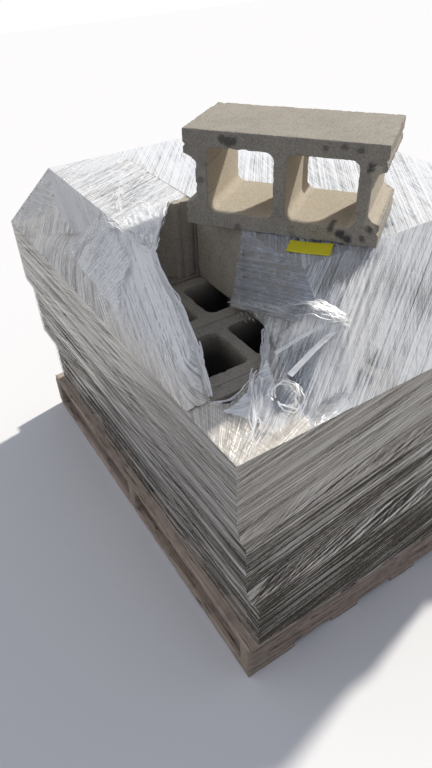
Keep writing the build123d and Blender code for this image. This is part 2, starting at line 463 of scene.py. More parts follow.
def half_block(end: tuple, detail: Detail) -> Surface:
    """The block's half on its +X side, from its middle plane, about the block's centre.

    The arris where two faces meet is a quarter of a circle cut in two: at a distance d from it, up to its
    radius R, the face has turned by a = 45 (1 - d / R) degrees and lies R (1 - cos a) behind its plane.

    Args:
        end: half of the end's outline, as (depth from the block's end, distance from its middle line).
        detail: how finely it is made.

    Returns:
        Its faces, with each point's gap from the nearest arris and, in the core, how deep it lies.
    """
    radius = BLOCK.arris
    top = BLOCK.height / 2
    near_half = [(BLOCK.length / 2 - depth, -y) for depth, y in end]
    far_half = [(x, -y) for x, y in near_half[::-1]]
    outline = np.array([(0.0, -BLOCK.width / 2), *near_half, *far_half, (0.0, BLOCK.width / 2)])
    wall = corner_kept(rounded_corners(outline, 1.5), detail.spacing)
    middle = np.array([(0.0, BLOCK.width / 2), (0.0, -BLOCK.width / 2)])
    centre_line = corner_kept(middle, detail.spacing * 1.5)
    outer = np.concatenate([wall, centre_line[1:-1]])
    on_wall = np.arange(len(outer)) < len(wall)
    tangent = np.gradient(wall, axis=0)
    from_wall = np.stack([-tangent[:, 1], tangent[:, 0]], -1)
    from_centre = np.tile([[1.0, 0.0]], (len(outer) - len(wall), 1))
    inward = np.concatenate([from_wall, from_centre])
    inward /= np.linalg.norm(inward, axis=1, keepdims=True)
    inward[[0, len(wall) - 1]] = [[0.0, 1.0], [0.0, -1.0]]
    core, away = core_loop(outer)
    convex = np.array([point for point in outline[1:-1] if point[0] > BLOCK.length / 2 - 1.0])
    corner_gap = np.min(np.linalg.norm(wall[:, None] - convex[None], axis=2), axis=1)

    near = np.array([0.0, radius / 2, radius])
    angle = np.pi / 4 * (1.0 - near / radius)
    behind = radius * (1.0 - np.cos(angle))
    along = radius * (1.0 - np.sin(angle))
    surfaces = []
    for side in (1, -1):
        hole = core if side == 1 else core + away * BLOCK.height * np.tan(np.radians(BLOCK.core_draft))
        outer_rows = outer[:, None] + inward[:, None] * np.where(on_wall[:, None], along, near)[..., None]
        outer_drop = np.where(on_wall[:, None], behind, 0.0)
        core_rows = hole[:, None] + away[:, None] * along[::-1][None, :, None]
        share = 0.5 - 0.5 * np.cos(np.pi * np.arange(1, detail.ring_rows + 1) / (detail.ring_rows + 1))
        start, end_point = outer_rows[:, -1:], core_rows[:, :1]
        middle_rows = start + (end_point - start) * share[None, :, None]
        span = np.linalg.norm(end_point - start, axis=2)
        plan = np.concatenate([outer_rows, middle_rows, core_rows], axis=1)
        level_rows = np.zeros((len(outer), detail.ring_rows))
        core_drop = np.tile(behind[::-1], (len(outer), 1))
        drop = np.concatenate([outer_drop, level_rows, core_drop], axis=1)
        from_outer = np.where(on_wall[:, None], span * share, 99.0) + radius
        gap = np.concatenate(
            [
                np.where(on_wall[:, None], near, 30.0),
                np.minimum(from_outer, span * (1.0 - share) + radius),
                np.tile(near[::-1], (len(outer), 1)),
            ],
            axis=1,
        )
        points = np.concatenate([plan, side * (top - drop)[..., None]], axis=2)
        surfaces.append(grid_surface(points, closed=True, flip=side == -1, gap=gap))
    inner = np.linspace(-1.0, 1.0, detail.wall_rows + 2)
    inner = (0.6 * inner + 0.4 * np.sin(inner * np.pi / 2)) * (top - radius)
    heights = np.concatenate([-(top - along), inner[1:-1], (top - along)[::-1]])
    shift = np.concatenate([behind, np.zeros(detail.wall_rows), behind[::-1]])
    edge_gap = np.concatenate([near, top - np.abs(inner[1:-1]), near[::-1]])
    count = len(heights)
    wall_plan = wall[:, None] + inward[: len(wall), None] * shift[None, :, None]
    level = np.broadcast_to(heights[None, :, None], (len(wall), count, 1))
    gap = np.minimum(edge_gap[None], corner_gap[:, None])
    surfaces.append(grid_surface(np.concatenate([wall_plan, level], axis=2), gap=gap))
    draft = (top - heights) * np.tan(np.radians(BLOCK.core_draft))
    draft = np.where(heights > top - radius, 0.0, np.where(heights < radius - top, draft.max(), draft))
    draft[:3] = BLOCK.height * np.tan(np.radians(BLOCK.core_draft))
    core_plan = core[:, None] + away[:, None] * (shift + draft)[None, :, None]
    level = np.broadcast_to(heights[None, :, None], (len(core), count, 1))
    gap = np.broadcast_to(edge_gap[None], (len(core), count))
    depth = np.broadcast_to((top - heights)[None], (len(core), count))
    core_points = np.concatenate([core_plan, level], axis=2)
    surfaces.append(grid_surface(core_points, closed=True, flip=True, gap=gap, deep=depth))
    return join(surfaces)


def block(left_end: tuple, right_end: tuple, fineness: Fineness, seed: int) -> Surface:
    """A whole block with worn arrises about its own centre, its cores up Z.

    Where a noise n is above 0.2 the arrises lose 9 (n - 0.2) exp(-gap / 4.5) mm, or 14 in place of 9 on a
    block in the opening, and every face moves by up to 0.5 mm of finer noise.

    Args:
        left_end, right_end: half outlines of its ends.
        fineness: how finely it is made.
        seed: picks its chips and its tone.

    Returns:
        The block, with its tone and how worn it is at each point.
    """
    detail = fineness.value
    left = half_block(left_end, detail).moved(turned(180.0), np.zeros(3))
    whole = weld(join([half_block(right_end, detail), left]))
    place = whole.points + 1000.0 * seed
    gap = whole.marks["gap"]
    deepest = 14.0 if fineness is Fineness.SEEN else 9.0
    chips = np.maximum(layered_noise(place / 15.0, seed) - 0.2, 0.0) * deepest * np.exp(-gap / 4.5)
    crumbs = np.maximum(layered_noise(place / 4.5, seed + 5, 2), 0.0) * 3.2 * np.exp(-gap / 2.0)
    coarse = 0.35 * layered_noise(place / 28.0, seed + 9) + 0.2 * layered_noise(place / 3.0, seed + 13, 2)
    if fineness is Fineness.HIDDEN:
        chips, crumbs = chips * 0.5, crumbs * 0.0
    whole.points = whole.points - whole.normals() * (chips + crumbs + np.abs(coarse))[:, None]
    tone = lattice_values(np.array([[seed, 3, 7]]), 11)[0]
    return whole.marked(tone=tone, wear=np.clip((chips + crumbs) / 2.5, 0.0, 1.0))


# Layout of the load


@dataclass(frozen=True)
class Load:
    """Places of the courses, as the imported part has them."""

    left_edge: float = -508.0
    near_edge: float = -609.5
    joint: float = 2.0
    near_row_gap: float = 0.5
    top_joint: float = 7.0
    top_near_row_gap: float = 5.5
    third_setback: tuple[float, float] = (-4.0, 32.0)
    top_setback: tuple[float, float] = (83.0, 226.0)
    floors: tuple[float, ...] = (127.0, 321.0, 515.0, 709.0)
    loose_from_corner: tuple[float, float] = (312.0, 188.0)
    loose_turn: float = -53.8
    loose_height: float = 1003.0

    @property
    def course_length(self) -> float:
        """Length of a full course along Y."""
        return 3 * BLOCK.length + 2 * self.joint

    @property
    def top_length(self) -> float:
        """Length of the top course along Y."""
        return 2 * BLOCK.length + self.top_joint

    @property
    def origin(self) -> Array:
        """The third course's near left corner on the floor, from which the film is measured."""
        left, near = self.third_setback
        return np.array([self.left_edge + left + 4.0, self.near_edge + near + 11.0, 0.0])


LOAD = Load()


def row_centres(start: float, length: float, count: int, tight: int, gap: float) -> list[float]:
    """Centres of a straight column's rows.

    Args:
        start: the column's near end.
        length: of the column.
        count: of its rows.
        tight: how many near rows are pushed together.
        gap: between those.

    Returns:
        The near rows' centres and then the rest, spread evenly to the far end.
    """
    pitch = BLOCK.width + gap
    near = [start + BLOCK.width / 2 + i * pitch for i in range(tight)]
    rest = count - tight
    end = start + length - BLOCK.width / 2
    return near + [near[-1] + (end - near[-1]) * (i + 1) / rest for i in range(rest)]


@dataclass
class Concrete:
    """The blocks that are made anew: the third course, the top course and the loose block."""

    load: Load = LOAD

    def straight(
        self, x: float, z: float, rows: list[float], ends: tuple, fineness: list[Fineness], seed: int
    ) -> list[Surface]:
        """Blocks side by side along Y, each along X.

        Args:
            x: the column's left edge.
            z: height of the blocks' centres.
            rows: places of the blocks along Y.
            ends: half outlines of the two ends.
            fineness: one for each row.
            seed: of the first block. Each next block has the next number.

        Returns:
            The blocks.
        """
        return [
            block(*ends, fine, seed + i).moved(np.eye(3), np.array([x + BLOCK.length / 2, row, z]))
            for i, (row, fine) in enumerate(zip(rows, fineness))
        ]

    def turned_column(
        self, x: float, y: float, z: float, length: float, fineness: list[Fineness | None], seed: int
    ) -> list[Surface]:
        """Blocks end to end along Y.

        Args:
            x, y: the column's left edge and near end.
            z: height of the blocks' centres.
            length: of the column.
            fineness: one for each place. None leaves the place empty.
            seed: of the first place. Each next place has the next number.

        Returns:
            The blocks.
        """
        pitch = (length - BLOCK.length) / (len(fineness) - 1)
        return [
            block(FROGGED_END, FROGGED_END, fine, seed + i).moved(
                turned(90.0), np.array([x + BLOCK.width / 2, y + BLOCK.length / 2 + i * pitch, z])
            )
            for i, fine in enumerate(fineness)
            if fine is not None
        ]

    def third_course(self) -> Surface:
        """Fifteen blocks, the near left ones fine because the opening shows them.

        Returns:
            Its blocks as one surface, those in and round the opening in more detail.
        """
        load = self.load
        x = load.left_edge + load.third_setback[0]
        y = load.near_edge + load.third_setback[1]
        z = load.floors[2] + BLOCK.height / 2
        rows = row_centres(y, load.course_length, 6, 3, load.near_row_gap)
        seen = [Fineness.SEEN] * 4 + [Fineness.HIDDEN] * 2
        ends = (FROGGED_END, FROGGED_END)
        blocks = self.straight(x, z, rows, ends, seen, 20)
        blocks += self.straight(x + BLOCK.length + load.joint, z, rows, ends, [Fineness.HIDDEN] * 6, 30)
        right = x + 2 * (BLOCK.length + load.joint)
        blocks += self.turned_column(right, y, z, load.course_length, [Fineness.HIDDEN] * 3, 40)
        course = join(blocks)
        # Painted shade: the cores darken with depth, where shade falls.
        course.marks["stain"] = np.clip((course.marks["deep"] - 10.0) / 55.0, 0.0, 1.0) ** 0.6
        return course

    def top_course(self) -> Surface:
        """Seven blocks: the left column's near one is missing, and the middle column's ends are flat.

        Returns:
            Its blocks as one surface.
        """
        load = self.load
        x = load.left_edge + load.top_setback[0]
        y = load.near_edge + load.top_setback[1]
        z = load.floors[3] + BLOCK.height / 2
        rows = row_centres(y, load.top_length, 4, 2, load.top_near_row_gap)
        blocks = self.turned_column(x, y, z, load.top_length, [None, Fineness.SEEN], 50)
        middle = x + BLOCK.width + load.joint
        fine = [Fineness.SEEN] * 3 + [Fineness.HIDDEN]
        blocks += self.straight(middle, z, rows, (PLAIN_END, PLAIN_END), fine, 60)
        right = middle + BLOCK.length + load.joint
        blocks += self.turned_column(right, y, z, load.top_length, [Fineness.HIDDEN] * 2, 70)
        return join(blocks)

    def loose_block(self) -> Surface:
        """The lifted block on one face shell, with dark damp spots on the face towards the opening.

        Returns:
            The block in its place on the load.
        """
        load = self.load
        shape = block(FROGGED_END, FROGGED_END, Fineness.CLOSE, 7)
        shape.marks["stain"] = spotted(shape.points, LOOSE_SPOTS)
        x, y, z = shape.points.T
        in_core = shape.marks["deep"] > 3.0
        behind_end = BLOCK.length / 2 - x
        in_frog = (behind_end < BLOCK.frog_depth + 2.0) & (behind_end > 6.0) & (np.abs(y) < 60.0)
        # Painted light: the cores and the frog of the +X end get a paler, warmer colour for sun and light
        # bounced inside them.
        shape.marks["pale"] = 1.0 * (in_core | in_frog)
        # A dark brown vertical band at the far end of one core wall.
        shape.marks["rust"] = 1.0 * (in_core & (z < -44.0) & (np.abs(x - 14.0) < 8.0) & (np.abs(y) < 62.0))
        x = load.left_edge + load.top_setback[0] + load.loose_from_corner[0]
        y = load.near_edge + load.top_setback[1] + load.loose_from_corner[1]
        turn = turned(load.loose_turn) @ LAID_ON_SIDE
        return shape.moved(turn, np.array([x, y, load.loose_height]))


@dataclass(frozen=True)
class Spot:
    """A dark spot on the loose block's upper cored face: its place from the block's centre and its size."""

    along: float
    across: float
    radius: float
    strength: float = 1.0


LOOSE_SPOTS = (
    Spot(-115, 83, 10, 0.75),
    Spot(-103, 80, 11, 0.8),
    Spot(-91, 81, 9, 0.75),
    Spot(85, 82, 7, 0.6),
    Spot(119, 88, 6, 0.6),
    Spot(148, 84, 7, 0.7),
    Spot(169, 60, 8, 0.9),
    Spot(168, 52, 7, 0.9),
    Spot(106, -69, 8, 0.8),
    Spot(125, -76, 10),
    Spot(131, -84, 7, 0.9),
    Spot(142, -86, 10),
    Spot(169, -82, 8, 0.8),
    Spot(180, -60, 9, 0.9),
    Spot(-86, -90, 9, 0.5),
    Spot(31, -90, 9, 0.4),
    Spot(-164, -1, 9, 0.5),
)


def spotted(points: Array, spots: tuple[Spot, ...]) -> Array:
    """Strength of the dark spots.

    Args:
        points: on the block, from its centre.
        spots: the spots.

    Returns:
        In 0..1, the strongest spot at each point of the upper cored face. A spot fades over the last third
        of its radius, and noise moves its rim.
    """
    total = np.zeros(len(points))
    ragged = 1.0 + 0.5 * layered_noise(points / 7.0, 77)
    for spot in spots:
        away = np.hypot(points[:, 0] - spot.along, points[:, 1] - spot.across) * ragged
        rim = np.clip((spot.radius - away) / (0.35 * spot.radius), 0.0, 1.0)
        total = np.maximum(total, rim * spot.strength * (points[:, 2] > 60.0))
    return total


# Film


@dataclass(frozen=True)
class Ply:
    """How a patch of film looks.

    Its veil is how much of it shows, from 0 to 1 and more. It is warm where concrete tints it, crackled and
    streaked by the given shares, and its folds have a height, a width and a length.
    """

    veil: float
    warm: float = 0.0
    crackle: float = 0.3
    fold: float = 1.5
    width: float = 9.0
    length: float = 130.0
    seed: int = 1
    streak: float = 1.0


# The film lies flat round this plan point, under the tag.
TAG_PLACE = np.array([-174.8, -336.2])
# Middles of the small loops along the torn lower edge of the flap.
LACE = (
    (262, 352, 742), (263, 338, 726), (258, 372, 728), (255, 330, 716), (259, 318, 752),
    (258, 306, 730), (250, 352, 718), (262, 292, 744), (262, 380, 736),
)


@dataclass(frozen=True)
class Bundle:
    """Drawn-out threads of film: the line they follow, their number, their spread and their width."""

    places: tuple[tuple[float, float, float], ...]
    count: int
    spread: float
    width: float


def laid(over: Array, pull: Array, seed: int) -> Array:
    """Places on a sheet measured by its pull.

    Args:
        over: places on the flat sheet.
        pull: direction in which the film is drawn.
        seed: moves the result to a part of the noise of its own.

    Returns:
        The distance across the pull, a cross product, and along it, a dot product.
    """
    pull = pull / np.linalg.norm(pull)
    beside = over[..., 0] * pull[1] - over[..., 1] * pull[0]
    along = over @ pull
    return np.stack([beside, along, np.full_like(along, 13.0 * seed)], -1)


def near_line(points: Array, start: tuple[float, float], end: tuple[float, float], reach: float) -> Array:
    """How near points lie to a plan line.

    Args:
        points: the points, of which the height isn't used.
        start, end: of the line.
        reach: the distance at which the result has fallen to about a third.

    Returns:
        exp(-(distance / reach)^4), which is 1 on the line and 0 far from it.
    """
    first, last = np.array(start), np.array(end)
    run = last - first
    share = np.clip(((points[:, :2] - first) @ run) / (run @ run), 0.0, 1.0)
    away = np.linalg.norm(points[:, :2] - first - share[:, None] * run, axis=1)
    return np.exp(-((away / reach) ** 4))


@dataclass
class Film:
    """The torn stretch film as patches, each a sheet between two lines.

    A patch is ruled: the point at shares (s, t) is (1 - t) a(s) + t b(s) for its first line a and its last
    line b. It is then moved along its normal by folds, crests of noise that are narrow across the film's
    pull and long with it, and fades to no fold at its held edges.

    The skirts run from their foot up to their rim, stand off the blocks, and lean where a course ends. The
    folds of the torn near corner spread from one plan point, and its hole follows a line between two.
    """

    step: float = 5.0
    back_step: float = 11.0
    stand_off: float = 4.2
    foot: float = 127.6
    rim: float = 711.4
    course_tops: tuple[float, float, float] = (711.0, 517.0, 323.0)
    torn_at: tuple[float, float] = (-90.0, -75.0)
    hole: tuple[tuple[float, float], tuple[float, float]] = ((140.0, 61.0), (192.0, 91.0))

    def line(self, *places: tuple[float, float, float]) -> Array:
        """Points measured from the third course's near left corner, as a line in the part's frame."""
        return np.array(places, float) + LOAD.origin

    def patch(
        self,
        first: Array,
        last: Array,
        ply: Ply,
        pull: tuple[float, float] = (0.0, 1.0),
        sag: float = 0.0,
        torn: tuple[bool, bool, bool, bool] = (False, False, False, False),
        counts: tuple[int, int] | None = None,
        matched: bool = False,
        fan: tuple[float, float] | None = None,
        feather: float = 0.0,
    ) -> Surface:
        """One patch.

        Args:
            first, last: its two lines.
            ply: its look.
            pull: direction of the folds in (s, t).
            sag: how far its middle bulges out, in millimetres.
            torn: whether its first line, last line, start and end are torn edges.
            counts: columns and rows, or None to take them from the patch's size and the film's step.
            matched: keep the lines' own corners opposite each other, not their even spacing.
            fan: plan point from which the folds spread like rays, in place of pull.
            feather: how far in from its edges the sheet thins out to nothing.

        Returns:
            The patch with its look as numbers at the points.
        """
        across = max(lengths_along(first)[-1], lengths_along(last)[-1])
        height = np.linalg.norm(first - last, axis=1).max()
        columns, rows = counts or (max(4, int(across / self.step)), max(4, int(height / self.step)))
        if matched:
            share = np.linspace(0, len(first) - 1, columns)
            own = np.arange(len(first))
            a = np.stack([np.interp(share, own, first[:, axis]) for axis in range(3)], -1)
            b = np.stack([np.interp(share, own, last[:, axis]) for axis in range(3)], -1)
        else:
            a, b = resampled(first, columns), resampled(last, columns)
        t = np.linspace(0.0, 1.0, rows)[None, :, None]
        points = a[:, None] * (1.0 - t) + b[:, None] * t
        s = np.linspace(0.0, 1.0, columns)[:, None]
        t = t[0, :, 0][None]
        u, v = s * across, t * height
        run = np.gradient(points, axis=0).mean(axis=(0, 1))
        run /= np.linalg.norm(run)
        rise = np.gradient(points, axis=1).mean(axis=(0, 1))
        rise -= run * (rise @ run)
        rise /= np.linalg.norm(rise)
        over = (points - points.mean(axis=(0, 1))) @ np.stack([run, rise], axis=1)
        lay = laid(over, np.array(pull), ply.seed)
        skewed = np.array([pull[0] - 0.35 * pull[1], pull[1] + 0.35 * pull[0]])
        crossing = laid(over, skewed, ply.seed + 3)
        if fan:
            away = points[..., :2] - (LOAD.origin[:2] + np.array(fan))
            along = np.linalg.norm(away, axis=-1)
            angle = np.arctan2(away[..., 1], away[..., 0])
            beside = 420.0 * np.unwrap(np.unwrap(angle, axis=0), axis=1)
            lay = np.stack([beside, along, np.full_like(along, 13.0 * ply.seed)], -1)
        held = np.minimum.reduce(
            [
                np.broadcast_to(edge, (columns, rows))
                for edge, loose in zip((t, 1.0 - t, s, 1.0 - s), torn)
                if not loose
            ]
            or [np.ones((columns, rows))]
        )
        ease = np.clip(held * min(across, height) / 14.0, 0.0, 1.0)
        folds = ridged_noise(lay / [ply.width, ply.length * 2.4, 1.0], ply.seed + 3) - 0.3
        broad = layered_noise(lay / [ply.width * 5.0, ply.length * 2.4, 1.0], ply.seed + 8)
        fine = layered_noise(points / 11.0, ply.seed + 15, 2) * ply.crackle
        from_tag = np.linalg.norm(points[..., :2] - TAG_PLACE, axis=-1)
        ease = ease * (1.0 - np.exp(-((from_tag / 75.0) ** 4)))
        lift = ease * (ply.fold * (folds + 0.9 * broad + 0.7 * fine) + sag * 4.0 * (t * (1.0 - t)))
        patch = grid_surface(points, lay=lay, crossing=crossing)
        normals = patch.normals()
        patch.points = patch.points + normals * lift.reshape(-1, 1)
        for edge, loose, index in zip(("first", "last", "start", "end"), torn, range(4)):
            if loose:
                self.fray(patch, columns, rows, index, ply)
        veil = np.full(columns * rows, ply.veil)
        if feather:
            rim = np.minimum.reduce([2.5 * v + 0 * u, height - v + 0 * u, u + 0 * v, across - u + 0 * v])
            veil = veil - 1.7 * (1.0 - np.clip(rim / feather, 0.0, 1.0)).reshape(-1) ** 1.5
        return patch.marked(veil=veil, warm=ply.warm, crackle=ply.crackle, streak=ply.streak)

    def fray(self, patch: Surface, columns: int, rows: int, edge: int, ply: Ply) -> None:
        """Pulls an edge's points in and out by up to about 7 mm of ragged noise, fading over 25 mm.

        Args:
            patch: the sheet, which is changed.
            columns, rows: of its grid.
            edge: 0 for its first line, 1 for its last, 2 for its start and 3 for its end.
            ply: its look, for the seed.
        """
        grid = patch.points.reshape(columns, rows, 3)
        rim = {0: grid[:, 0], 1: grid[:, -1], 2: grid[0], 3: grid[-1]}[edge].copy()
        inner = {0: grid[:, 2], 1: grid[:, -3], 2: grid[2], 3: grid[-3]}[edge]
        away = rim - inner
        away /= np.maximum(np.linalg.norm(away, axis=1, keepdims=True), 1e-9)
        broad = layered_noise(rim / 16.0, ply.seed + 40)
        fine = layered_noise(rim / 5.0, ply.seed + 41)
        ragged = 5.0 * broad + 3.0 * fine
        shift = away * ragged[:, None]
        if edge in (0, 1):
            gap = np.linalg.norm(grid - rim[:, None], axis=2)
            grid += shift[:, None] * np.exp(-gap / 9.0)[..., None]
        else:
            gap = np.linalg.norm(grid - rim[None], axis=2)
            grid += shift[None] * np.exp(-gap / 9.0)[..., None]

    def skirt(self, sides: tuple[str, ...], step: float, ply: Ply, tilt: float) -> Surface:
        """Film round the three full courses.

        It leans inwards below a course that stands out on its side, and outwards above one that steps back.
        Its folds run round the load.

        Args:
            sides: which of left, near, right and far are made.
            step: the distance between points.
            ply: its look.
            tilt: how far its folds climb for each millimetre round the load.

        Returns:
            The walls, which meet at the load's corners.
        """
        bends = [548.0, 517.0, 485.0, 355.0, 323.0, 290.0]
        heights = np.concatenate([np.arange(self.foot, self.rim, step), bends, [self.rim]])
        heights = np.unique(heights)[::-1]
        left = np.interp(-heights, [-517.0, -485.0, -323.0, -290.0], [-4.0, 7.0, 7.0, 28.0])
        right = np.interp(-heights, [-548.0, -517.0, -355.0, -323.0], [-4.0, 7.0, 7.0, 28.0]) + 992.0
        near = np.interp(-heights, [-548.0, -517.0, -355.0, -323.0], [-11.0, -24.0, -24.0, -43.0])
        far = np.interp(-heights, [-517.0, -485.0, -323.0, -290.0], [-11.0, -24.0, -24.0, -43.0]) + 1195.0
        out = self.stand_off
        walls = []
        for side in sides:
            near_left, near_right, far_left, far_right = (
                np.stack([x, y, heights], -1)
                for x, y in (
                    (left - out, near - out), (right + out, near - out),
                    (left - out, far + out), (right + out, far + out),
                )
            )
            start, end = {
                "left": (far_left, near_left),
                "near": (near_left, near_right),
                "right": (near_right, far_right),
                "far": (far_right, far_left),
            }[side]
            columns = int(np.linalg.norm(end[0] - start[0]) / step)
            s = np.linspace(0.0, 1.0, columns)[:, None, None]
            points = start[None] * (1.0 - s) + end[None] * s + LOAD.origin
            run = s[..., 0] * np.linalg.norm(end[0] - start[0])
            drop = self.rim - np.broadcast_to(points[..., 2], (columns, len(start)))
            along = run + 0.0 * drop
            beside = drop + tilt * run
            lay = np.stack([beside, along, np.full_like(along, 13.0 * ply.seed)], -1)
            skewed = np.array([1.0, 0.32 if tilt < 0.1 else 0.5])
            crossing = laid(np.stack([along, -drop], -1), skewed, ply.seed + 3)
            folds = ridged_noise(lay / [ply.width, ply.length, 1.0], ply.seed + 3) - 0.25
            broad = layered_noise(lay / [ply.width * 4.0, ply.length * 1.5, 1.0], ply.seed + 8)
            patch = grid_surface(points, flip=True, lay=lay, crossing=crossing)
            lift = np.clip(ply.fold * (folds + 0.6 * broad), -1.0, 5.0)
            ease = np.clip(np.minimum(run, run.max() - run) / 20.0, 0.15, 1.0)
            level = points[..., 2]
            ledge = np.min([np.abs(level - top) for top in self.course_tops], axis=0)
            ease = ease * np.clip((ledge - 3.0) / 30.0, 0.1, 1.0)
            rim = np.exp(-((ledge / 5.0) ** 2)) * (level < 700.0)
            patch.points = patch.points + patch.normals() * (lift * ease).reshape(-1, 1)
            height = points[..., 2].reshape(-1)
            share = [-0.15, 0.1, 0.4, 0.7, 0.95, 1.45]
            if side == "left":
                share = [0.1, 0.35, 0.5, 0.8, 0.95, 1.3]
            veil = ply.veil * np.interp(height, [150.0, 318.0, 326.0, 510.0, 520.0, 711.0], share)
            veil = veil + 0.35 * rim.reshape(-1)
            walls.append(patch.marked(veil=veil, warm=ply.warm, crackle=ply.crackle, streak=ply.streak))
        return join(walls)

    def corner_sheet(self) -> Surface:
        """The flat near corner and what rises from it, with the hole in it and the white fold beside that.

        Returns:
            The flat sheet, the sheet that rises to the top course, the sheet drawn over their seam, the
            white collar beside the hole, and the threads round it.
        """
        flat = self.patch(
            self.line(
                (-8, 150, 710), (-8, 70, 710), (-7, -15, 711), (35, -15, 712),
                (70, -15, 712), (110, -15, 712), (150, -15, 712),
            ),
            self.line(
                (45, 150, 711), (58, 130, 712), (70, 120, 713), (95, 129, 715),
                (119, 137, 718), (172, 156, 728), (246, 252, 742),
            ),
            Ply(0.92, 0.8, 0.4, 1.2, 9.0, 160.0, 4, 0.4),
            torn=(False, True, True, False), matched=True, fan=self.torn_at,
        )
        over = flat.points - LOAD.origin
        thin = near_line(over, (175.0, 125.0), (250.0, 240.0), 52.0)
        hole = near_line(over, *self.hole, 24.0)
        flat.marks["veil"] = 0.74 - 0.2 * thin + 0.1 * hole
        # Painted shade: the film over the hole is tinted dark blue-grey.
        flat.marks["dusk"] = 0.8 * hole
        rise = self.patch(
            self.line((150, -15, 712), (172, 60, 717), (212, 150, 728), (246, 252, 742)),
            self.line((250, -14, 713), (268, 60, 787), (281, 92, 808), (262, 330, 745)),
            Ply(0.30, 0.0, 1.0, 3.0, 9.0, 90.0, 5, 0.5),
            torn=(False, False, False, True), matched=True, fan=self.torn_at,
        )
        over = rise.points - LOAD.origin
        thin = near_line(over, (240.0, 130.0), (250.0, 280.0), 62.0)
        hole = near_line(over, *self.hole, 24.0)
        clear = near_line(over, (165.0, 62.0), (212.0, 122.0), 44.0)
        rise.marks["veil"] = 0.85 - 0.36 * np.maximum(thin, clear) - 0.12 * hole
        # Painted shade: the film over the hole and the clear zone is tinted dark blue-grey.
        rise.marks["dusk"] = np.maximum(0.8 * hole, 0.75 * clear)
        over_seam = self.patch(
            self.line((30, -8, 720), (130, -6, 728), (250, 0, 742), (420, 50, 792)),
            self.line((190, 176, 752), (262, 176, 812), (330, 150, 892), (520, 176, 912)),
            Ply(0.84, 0.25, 0.45, 2.0, 9.0, 150.0, 16, 0.85),
            pull=(1.0, 0.48), matched=True, feather=52.0,
        )
        over = over_seam.points - LOAD.origin
        thin = near_line(over, (148.0, 42.0), (215.0, 105.0), 38.0)
        hole = near_line(over, (136.0, 38.0), (152.0, 54.0), 20.0)
        over_seam.marks["veil"] = over_seam.marks["veil"] - 0.66 * thin - 1.6 * hole
        # Painted shade: the thin zone is tinted dark blue-grey.
        over_seam.marks["dusk"] = 0.5 * thin
        collar = self.patch(
            self.line((36, 110, 716), (72, 112, 719), (112, 122, 727), (146, 136, 741), (180, 152, 758)),
            self.line((92, 26, 716), (108, 44, 719), (136, 70, 724), (158, 96, 734), (180, 158, 757)),
            Ply(1.1, 0.0, 0.8, 3.5, 9.0, 70.0, 41, 0.9),
            pull=(0.75, 1.0), matched=True, feather=16.0,
        )
        rim = self.ring(over_seam, np.array([141.0, 46.0]), np.array([20.0, 27.0]))
        return join([flat, rise, over_seam, collar, *rim])

    def ring(self, sheet: Surface, centre: Array, reach: Array) -> list[Surface]:
        """Crinkled threads round a hole in a sheet.

        Args:
            sheet: the sheet.
            centre: the hole's middle in plan.
            reach: half of its length and of its width.

        Returns:
            Threads, each over part of an oval whose size noise changes, a little above the sheet.
        """
        over = sheet.points - LOAD.origin
        rng = np.random.default_rng(300)
        rings = []
        for index in range(14):
            start = rng.uniform(0.0, 2.0 * np.pi)
            angle = np.linspace(start, start + rng.uniform(1.2, 3.6), 30)
            place = np.stack([np.cos(angle), np.sin(angle), np.full_like(angle, 0.25 * index)], -1)
            wide = 0.9 + 0.035 * index + 0.45 * layered_noise(place * 1.5, 300)
            plan = centre + place[:, :2] * reach * wide[:, None]
            nearest = np.argmin(np.linalg.norm(over[:, None, :2] - plan[None], axis=2), axis=0)
            ring = np.column_stack([plan, over[nearest, 2] + rng.uniform(2.0, 7.0)])
            rings.append(self.strip(ring, rng.uniform(1.2, 3.2), 310 + index))
        return rings

    def slopes(self) -> Surface:
        """The near slope, the left slope by the opening and what is pulled in to the top course.

        Returns:
            The near slope, the left slope, the gathered folds and the drape beside it, and the film on the
            top course's left face.
        """
        near = self.patch(
            self.line((250, -15, 712), (400, -15, 712), (620, -15, 712), (990, -15, 712)),
            self.line((276, 180, 906), (400, 180, 906), (580, 180, 906), (877, 180, 906)),
            Ply(0.82, 0.1, 0.35, 1.9, 9.0, 150.0, 6, 0.75),
            pull=(1.0, 0.80), matched=True,
        )
        over = near.points - LOAD.origin
        # Painted shade: by the loose block the film is made thinner and dark blue-grey, as in its shadow.
        shaded = near_line(over, (270.0, 170.0), (380.0, 186.0), 80.0)
        near.marks["veil"] = near.marks["veil"] - 0.4 * shaded
        near.marks["dusk"] = 0.6 * shaded
        left = self.patch(
            self.line(*((-8, along, 711) for along in (150, 195, 260, 330, 390, 440, 570))),
            self.line(
                (45, 150, 712), (44, 195, 820), (56, 256, 848), (60, 305, 860),
                (66, 360, 878), (77, 398, 905), (79, 650, 906),
            ),
            Ply(0.95, 0.0, 0.8, 2.4, 15.0, 170.0, 7, 0.8),
            pull=(1.0, 0.28), sag=-5.0, torn=(False, False, True, False), matched=True,
        )
        left.marks["warm"] = np.interp(left.points[:, 2], [711.0, 790.0], [0.75, 0.0])
        gather = self.patch(
            self.line((16, 790, 776), (8, 640, 772), (2, 540, 764), (2, 440, 760)),
            self.line((70, 660, 896), (72, 590, 908), (66, 520, 900), (58, 450, 880)),
            Ply(0.75, 0.0, 1.0, 5.0, 18.0, 90.0, 43, 0.6),
            pull=(0.55, 1.0), matched=True, feather=34.0,
        )
        drape = self.patch(
            self.line((-8, 570, 711), (-8, 700, 711), (-8, 860, 711), (-8, 1030, 711), (-8, 1188, 711)),
            self.line((79, 650, 906), (78, 690, 852), (78, 790, 796), (78, 870, 766), (78, 988, 800)),
            Ply(0.80, 0.5, 0.8, 3.0, 18.0, 200.0, 8, 0.7),
            pull=(0.6, 1.0), sag=-9.0, matched=True,
        )
